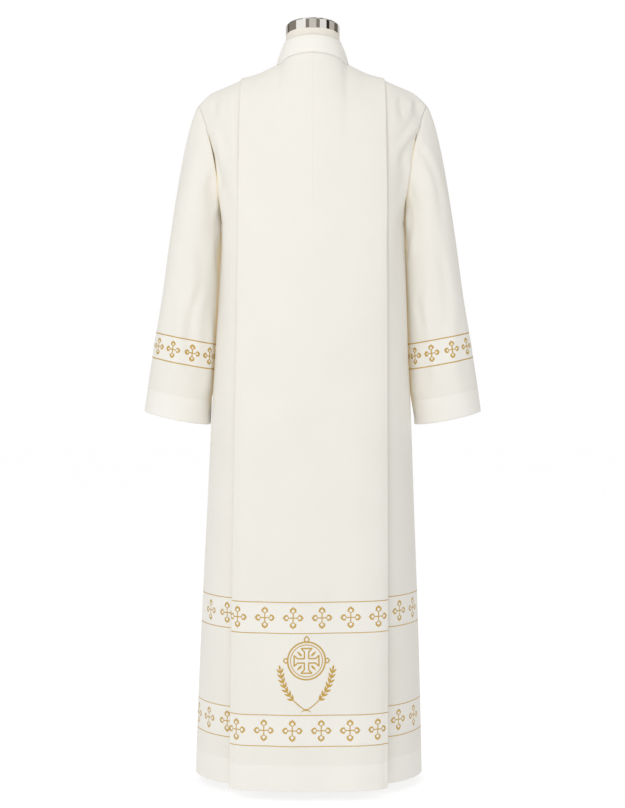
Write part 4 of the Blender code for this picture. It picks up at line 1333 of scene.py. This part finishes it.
def build_collar_grid():
    turns = 160
    start = math.asin(SEAM_GAP / NECK_HALF_WIDTH)
    turn = -math.pi + start + 2 * (math.pi - start) * np.arange(turns + 1) / turns
    size = np.abs(turn)
    lateral = NECK_LATERAL * np.sin(size)
    behind = back_row(lateral, np.full(len(turn), PLEAT_TOP_STEP), ("yoke", 1.0))
    before = front_row(lateral, ("yoke", 1.0), np.zeros(len(turn)))
    low = np.where((size <= math.pi / 2)[:, None], behind, before) + np.array((0.0, 0.0, COLLAR_SEAT))
    back = np.cos(turn)
    depth = np.where(back > 0, COLLAR_BACK, COLLAR_FRONT)
    far = np.where(back > 0, COLLAR_BACK_HEIGHT, COLLAR_FRONT_HEIGHT)
    height = COLLAR_SIDE_HEIGHT + (far - COLLAR_SIDE_HEIGHT) * np.abs(back) ** 1.5
    high = np.stack([COLLAR_HALF_WIDTH * np.sin(size), -depth * back, height], axis=-1)
    hand = np.where(turn >= 0, 1.0, -1.0)
    grid = []
    for share in np.linspace(0, 1, 22):
        bulge = COLLAR_BULGE * math.sin(math.pi * share) / NECK_HALF_WIDTH
        point = (low + (high - low) * share) * np.array((1 + bulge, 1 + bulge, 1))
        rolls = [math.exp(-((share - roll) / COLLAR_ROLL_SPREAD) ** 2) for roll in COLLAR_ROLL_SHARES]
        tuck = COLLAR_ROLL * sum(rolls) / COLLAR_MEAN_RADIUS
        point = point * np.array((1 - tuck, 1 - tuck, 1))
        grid.append(point * np.stack([hand, 1 + 0 * hand, 1 + 0 * hand], axis=-1))
    return np.array(grid)


def stitch_line(cloth, level, ribbon, width, steps):
    """One gold line right along the cloth at a level."""
    points, normals, lengths = cloth.line(level)
    if cloth.closed:
        ways = np.linspace(0, lengths[-1], steps + 1)[:-1]
    else:
        ways = np.linspace(LINE_END, lengths[-1] - LINE_END, steps)
    normals = unit(resampled(normals, lengths, ways))
    ribbon.stroke(resampled(points, lengths, ways), normals, width, LINE_RISE, closed=cloth.closed)


def half_way(row, lengths):
    return lengths[-1] / 2


def at_centre_line(row, lengths):
    return np.interp(0.0, row[:, 0], lengths)


def stitch_back(cloth, gold):
    lines, crosses, emblem = Ribbon(), Ribbon(), Ribbon()
    for low, high in SKIRT_BANDS:
        for level in (low, high):
            stitch_line(cloth, level, lines, LINE_WIDTH, 900)
        middle = (low + high) / 2
        span = cloth.line(middle)[2][-1]
        count = int(span / 2 / CROSS_SPACING) + 1
        for k in range(-count, count):
            offset = PANEL_STITCH_SHIFT + (k + 0.5) * CROSS_SPACING
            if abs(offset) > SIDE_STITCHES_FROM:
                offset += SIDE_STITCH_SHIFT[offset > 0] - PANEL_STITCH_SHIFT
            out = abs(offset)
            hidden = out - CROSS_REACH_OUT > PLEAT_HIDES[0] and out + CROSS_REACH_OUT < PLEAT_HIDES[1]
            if not hidden and out + CROSS_MARGIN <= span / 2:
                place = patch(cloth, half_way, offset, middle, CROSS_PATCH, BACK_CROSS_STEPS)
                stitch_cross(place, crosses, CROSS_SCALE)
    lines.build("gold_lines_back", gold)
    crosses.build("gold_crosses_back", gold)
    place = patch(cloth, half_way, EMBLEM_SHIFT, EMBLEM_HEIGHT, EMBLEM_PATCH, EMBLEM_STEPS)
    stitch_emblem(place, emblem)
    emblem.build("gold_emblem", gold)


def stitch_front(cloth, hand, lines, crosses):
    for low, high in SKIRT_BANDS:
        for level in (low, high):
            stitch_line(cloth, level, lines, LINE_WIDTH, 500)
        middle = (low + high) / 2
        row, _, lengths = cloth.line(middle)
        for k in range(6):
            offset = hand * (k + 0.5) * CROSS_SPACING
            if CROSS_MARGIN < at_centre_line(row, lengths) + offset < lengths[-1] - CROSS_MARGIN:
                place = patch(cloth, at_centre_line, offset, middle, CROSS_PATCH)
                stitch_cross(place, crosses, CROSS_SCALE)


def stitched_sleeve(cloth, degrees):
    """The gold of a sleeve's band, with its crosses at even turns round it."""
    ribbon = Ribbon()
    for level in SLEEVE_BAND:
        stitch_line(cloth, level, ribbon, SLEEVE_LINE_WIDTH, 360)
    order = np.argsort(degrees)
    for k in range(SLEEVE_CROSSES):
        wanted = 360.0 * k / SLEEVE_CROSSES

        def at_turn(row, lengths, wanted=wanted):
            return np.interp(wanted, degrees[order], lengths[:-1][order])

        place = patch(cloth, at_turn, 0.0, sum(SLEEVE_BAND) / 2, SLEEVE_PATCH)
        stitch_cross(place, ribbon, SLEEVE_CROSS_SCALE, SLEEVE_BOLD)
    return ribbon


def body_cloth(name, node, grid, places, middle, column, lifts, look, facing=1):
    """A piece of the robe's body, from its middle column, and the cloth to stitch on, by one column's
    heights."""
    along = way_along(grid, middle)
    # Where the cloth lies double, and where it gets painted crevice shade and a faint painted glow beside
    # the sleeves
    doubled, warm = doubled_rows(grid, along, lifts), side_warmth(places, grid[..., 2])
    dress(name, node, grid, look, "draped", doubled=doubled, warm=warm)
    return Cloth(grid, grid[:, column, 2], along=along, lifts=lifts, facing=facing)


def main():
    scene = bpy.context.scene
    scene.view_settings.view_transform = "Standard"
    scene.view_settings.look = "None"
    set_camera()
    set_world()
    set_stage()
    cloth, gold = cloth_material(), gold_material()

    steel = metal_material("satin_steel", (0.62, 0.61, 0.58, 1), 140.0, 2.0, 0.28, 0.40)
    chrome = metal_material("polished_chrome", (0.80, 0.79, 0.77, 1), 60.0, 4.0, 0.02, 0.05)
    looks = {"form_torso": jersey_material(), "neck_cap": chrome, "stand_pole": steel, "stand_base": steel}
    for name, look in looks.items():
        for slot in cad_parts[name].material_slots:
            slot.material = look

    grid, places = creased_back()
    middle = grid.shape[1] // 2
    back = body_cloth("alb_back", "robe_back", grid, places, middle, middle, BACK_LIFTS, cloth)
    fronts, sleeves = {}, {}
    for hand, name, drop in ((-1, "left", 0.0), (1, "right", LAP_DROP)):
        grid, places = creased_front(hand, drop)
        middle = int(np.argmin(np.abs(places[0])))
        names = f"alb_front_{name}", f"robe_front_{name}"
        fronts[hand] = body_cloth(*names, grid, places, middle, FRONT_KEY_COLUMN, FRONT_LIFTS, cloth, -1)
    for hand, name in ((-1, "left"), (1, "right")):
        sleeve, turns, levels = build_sleeve_grid(hand)
        shares = sleeve_shares(sleeve, turns, levels)
        dress(f"alb_sleeve_{name}", f"sleeve_{name}", sleeve, cloth, "hung", closed=True, **shares)
        rows = levels[:, 0] < CAP_LEVEL
        sleeves[name] = Cloth(sleeve[rows], levels[rows, 0], closed=True), turns[0]
    collar = build_collar_grid()
    dress("alb_collar", "stand_collar", collar, cloth, "stretched", doubled=0.7, wall=COLLAR_SHELL)

    stitch_back(back, gold)
    lines, crosses = Ribbon(), Ribbon()
    for hand, front in fronts.items():
        stitch_front(front, hand, lines, crosses)
    lines.build("gold_lines_front", gold)
    crosses.build("gold_crosses_front", gold)
    for name, sleeve in sleeves.items():
        stitched_sleeve(*sleeve).build(f"gold_band_sleeve_{name}", gold)


main()
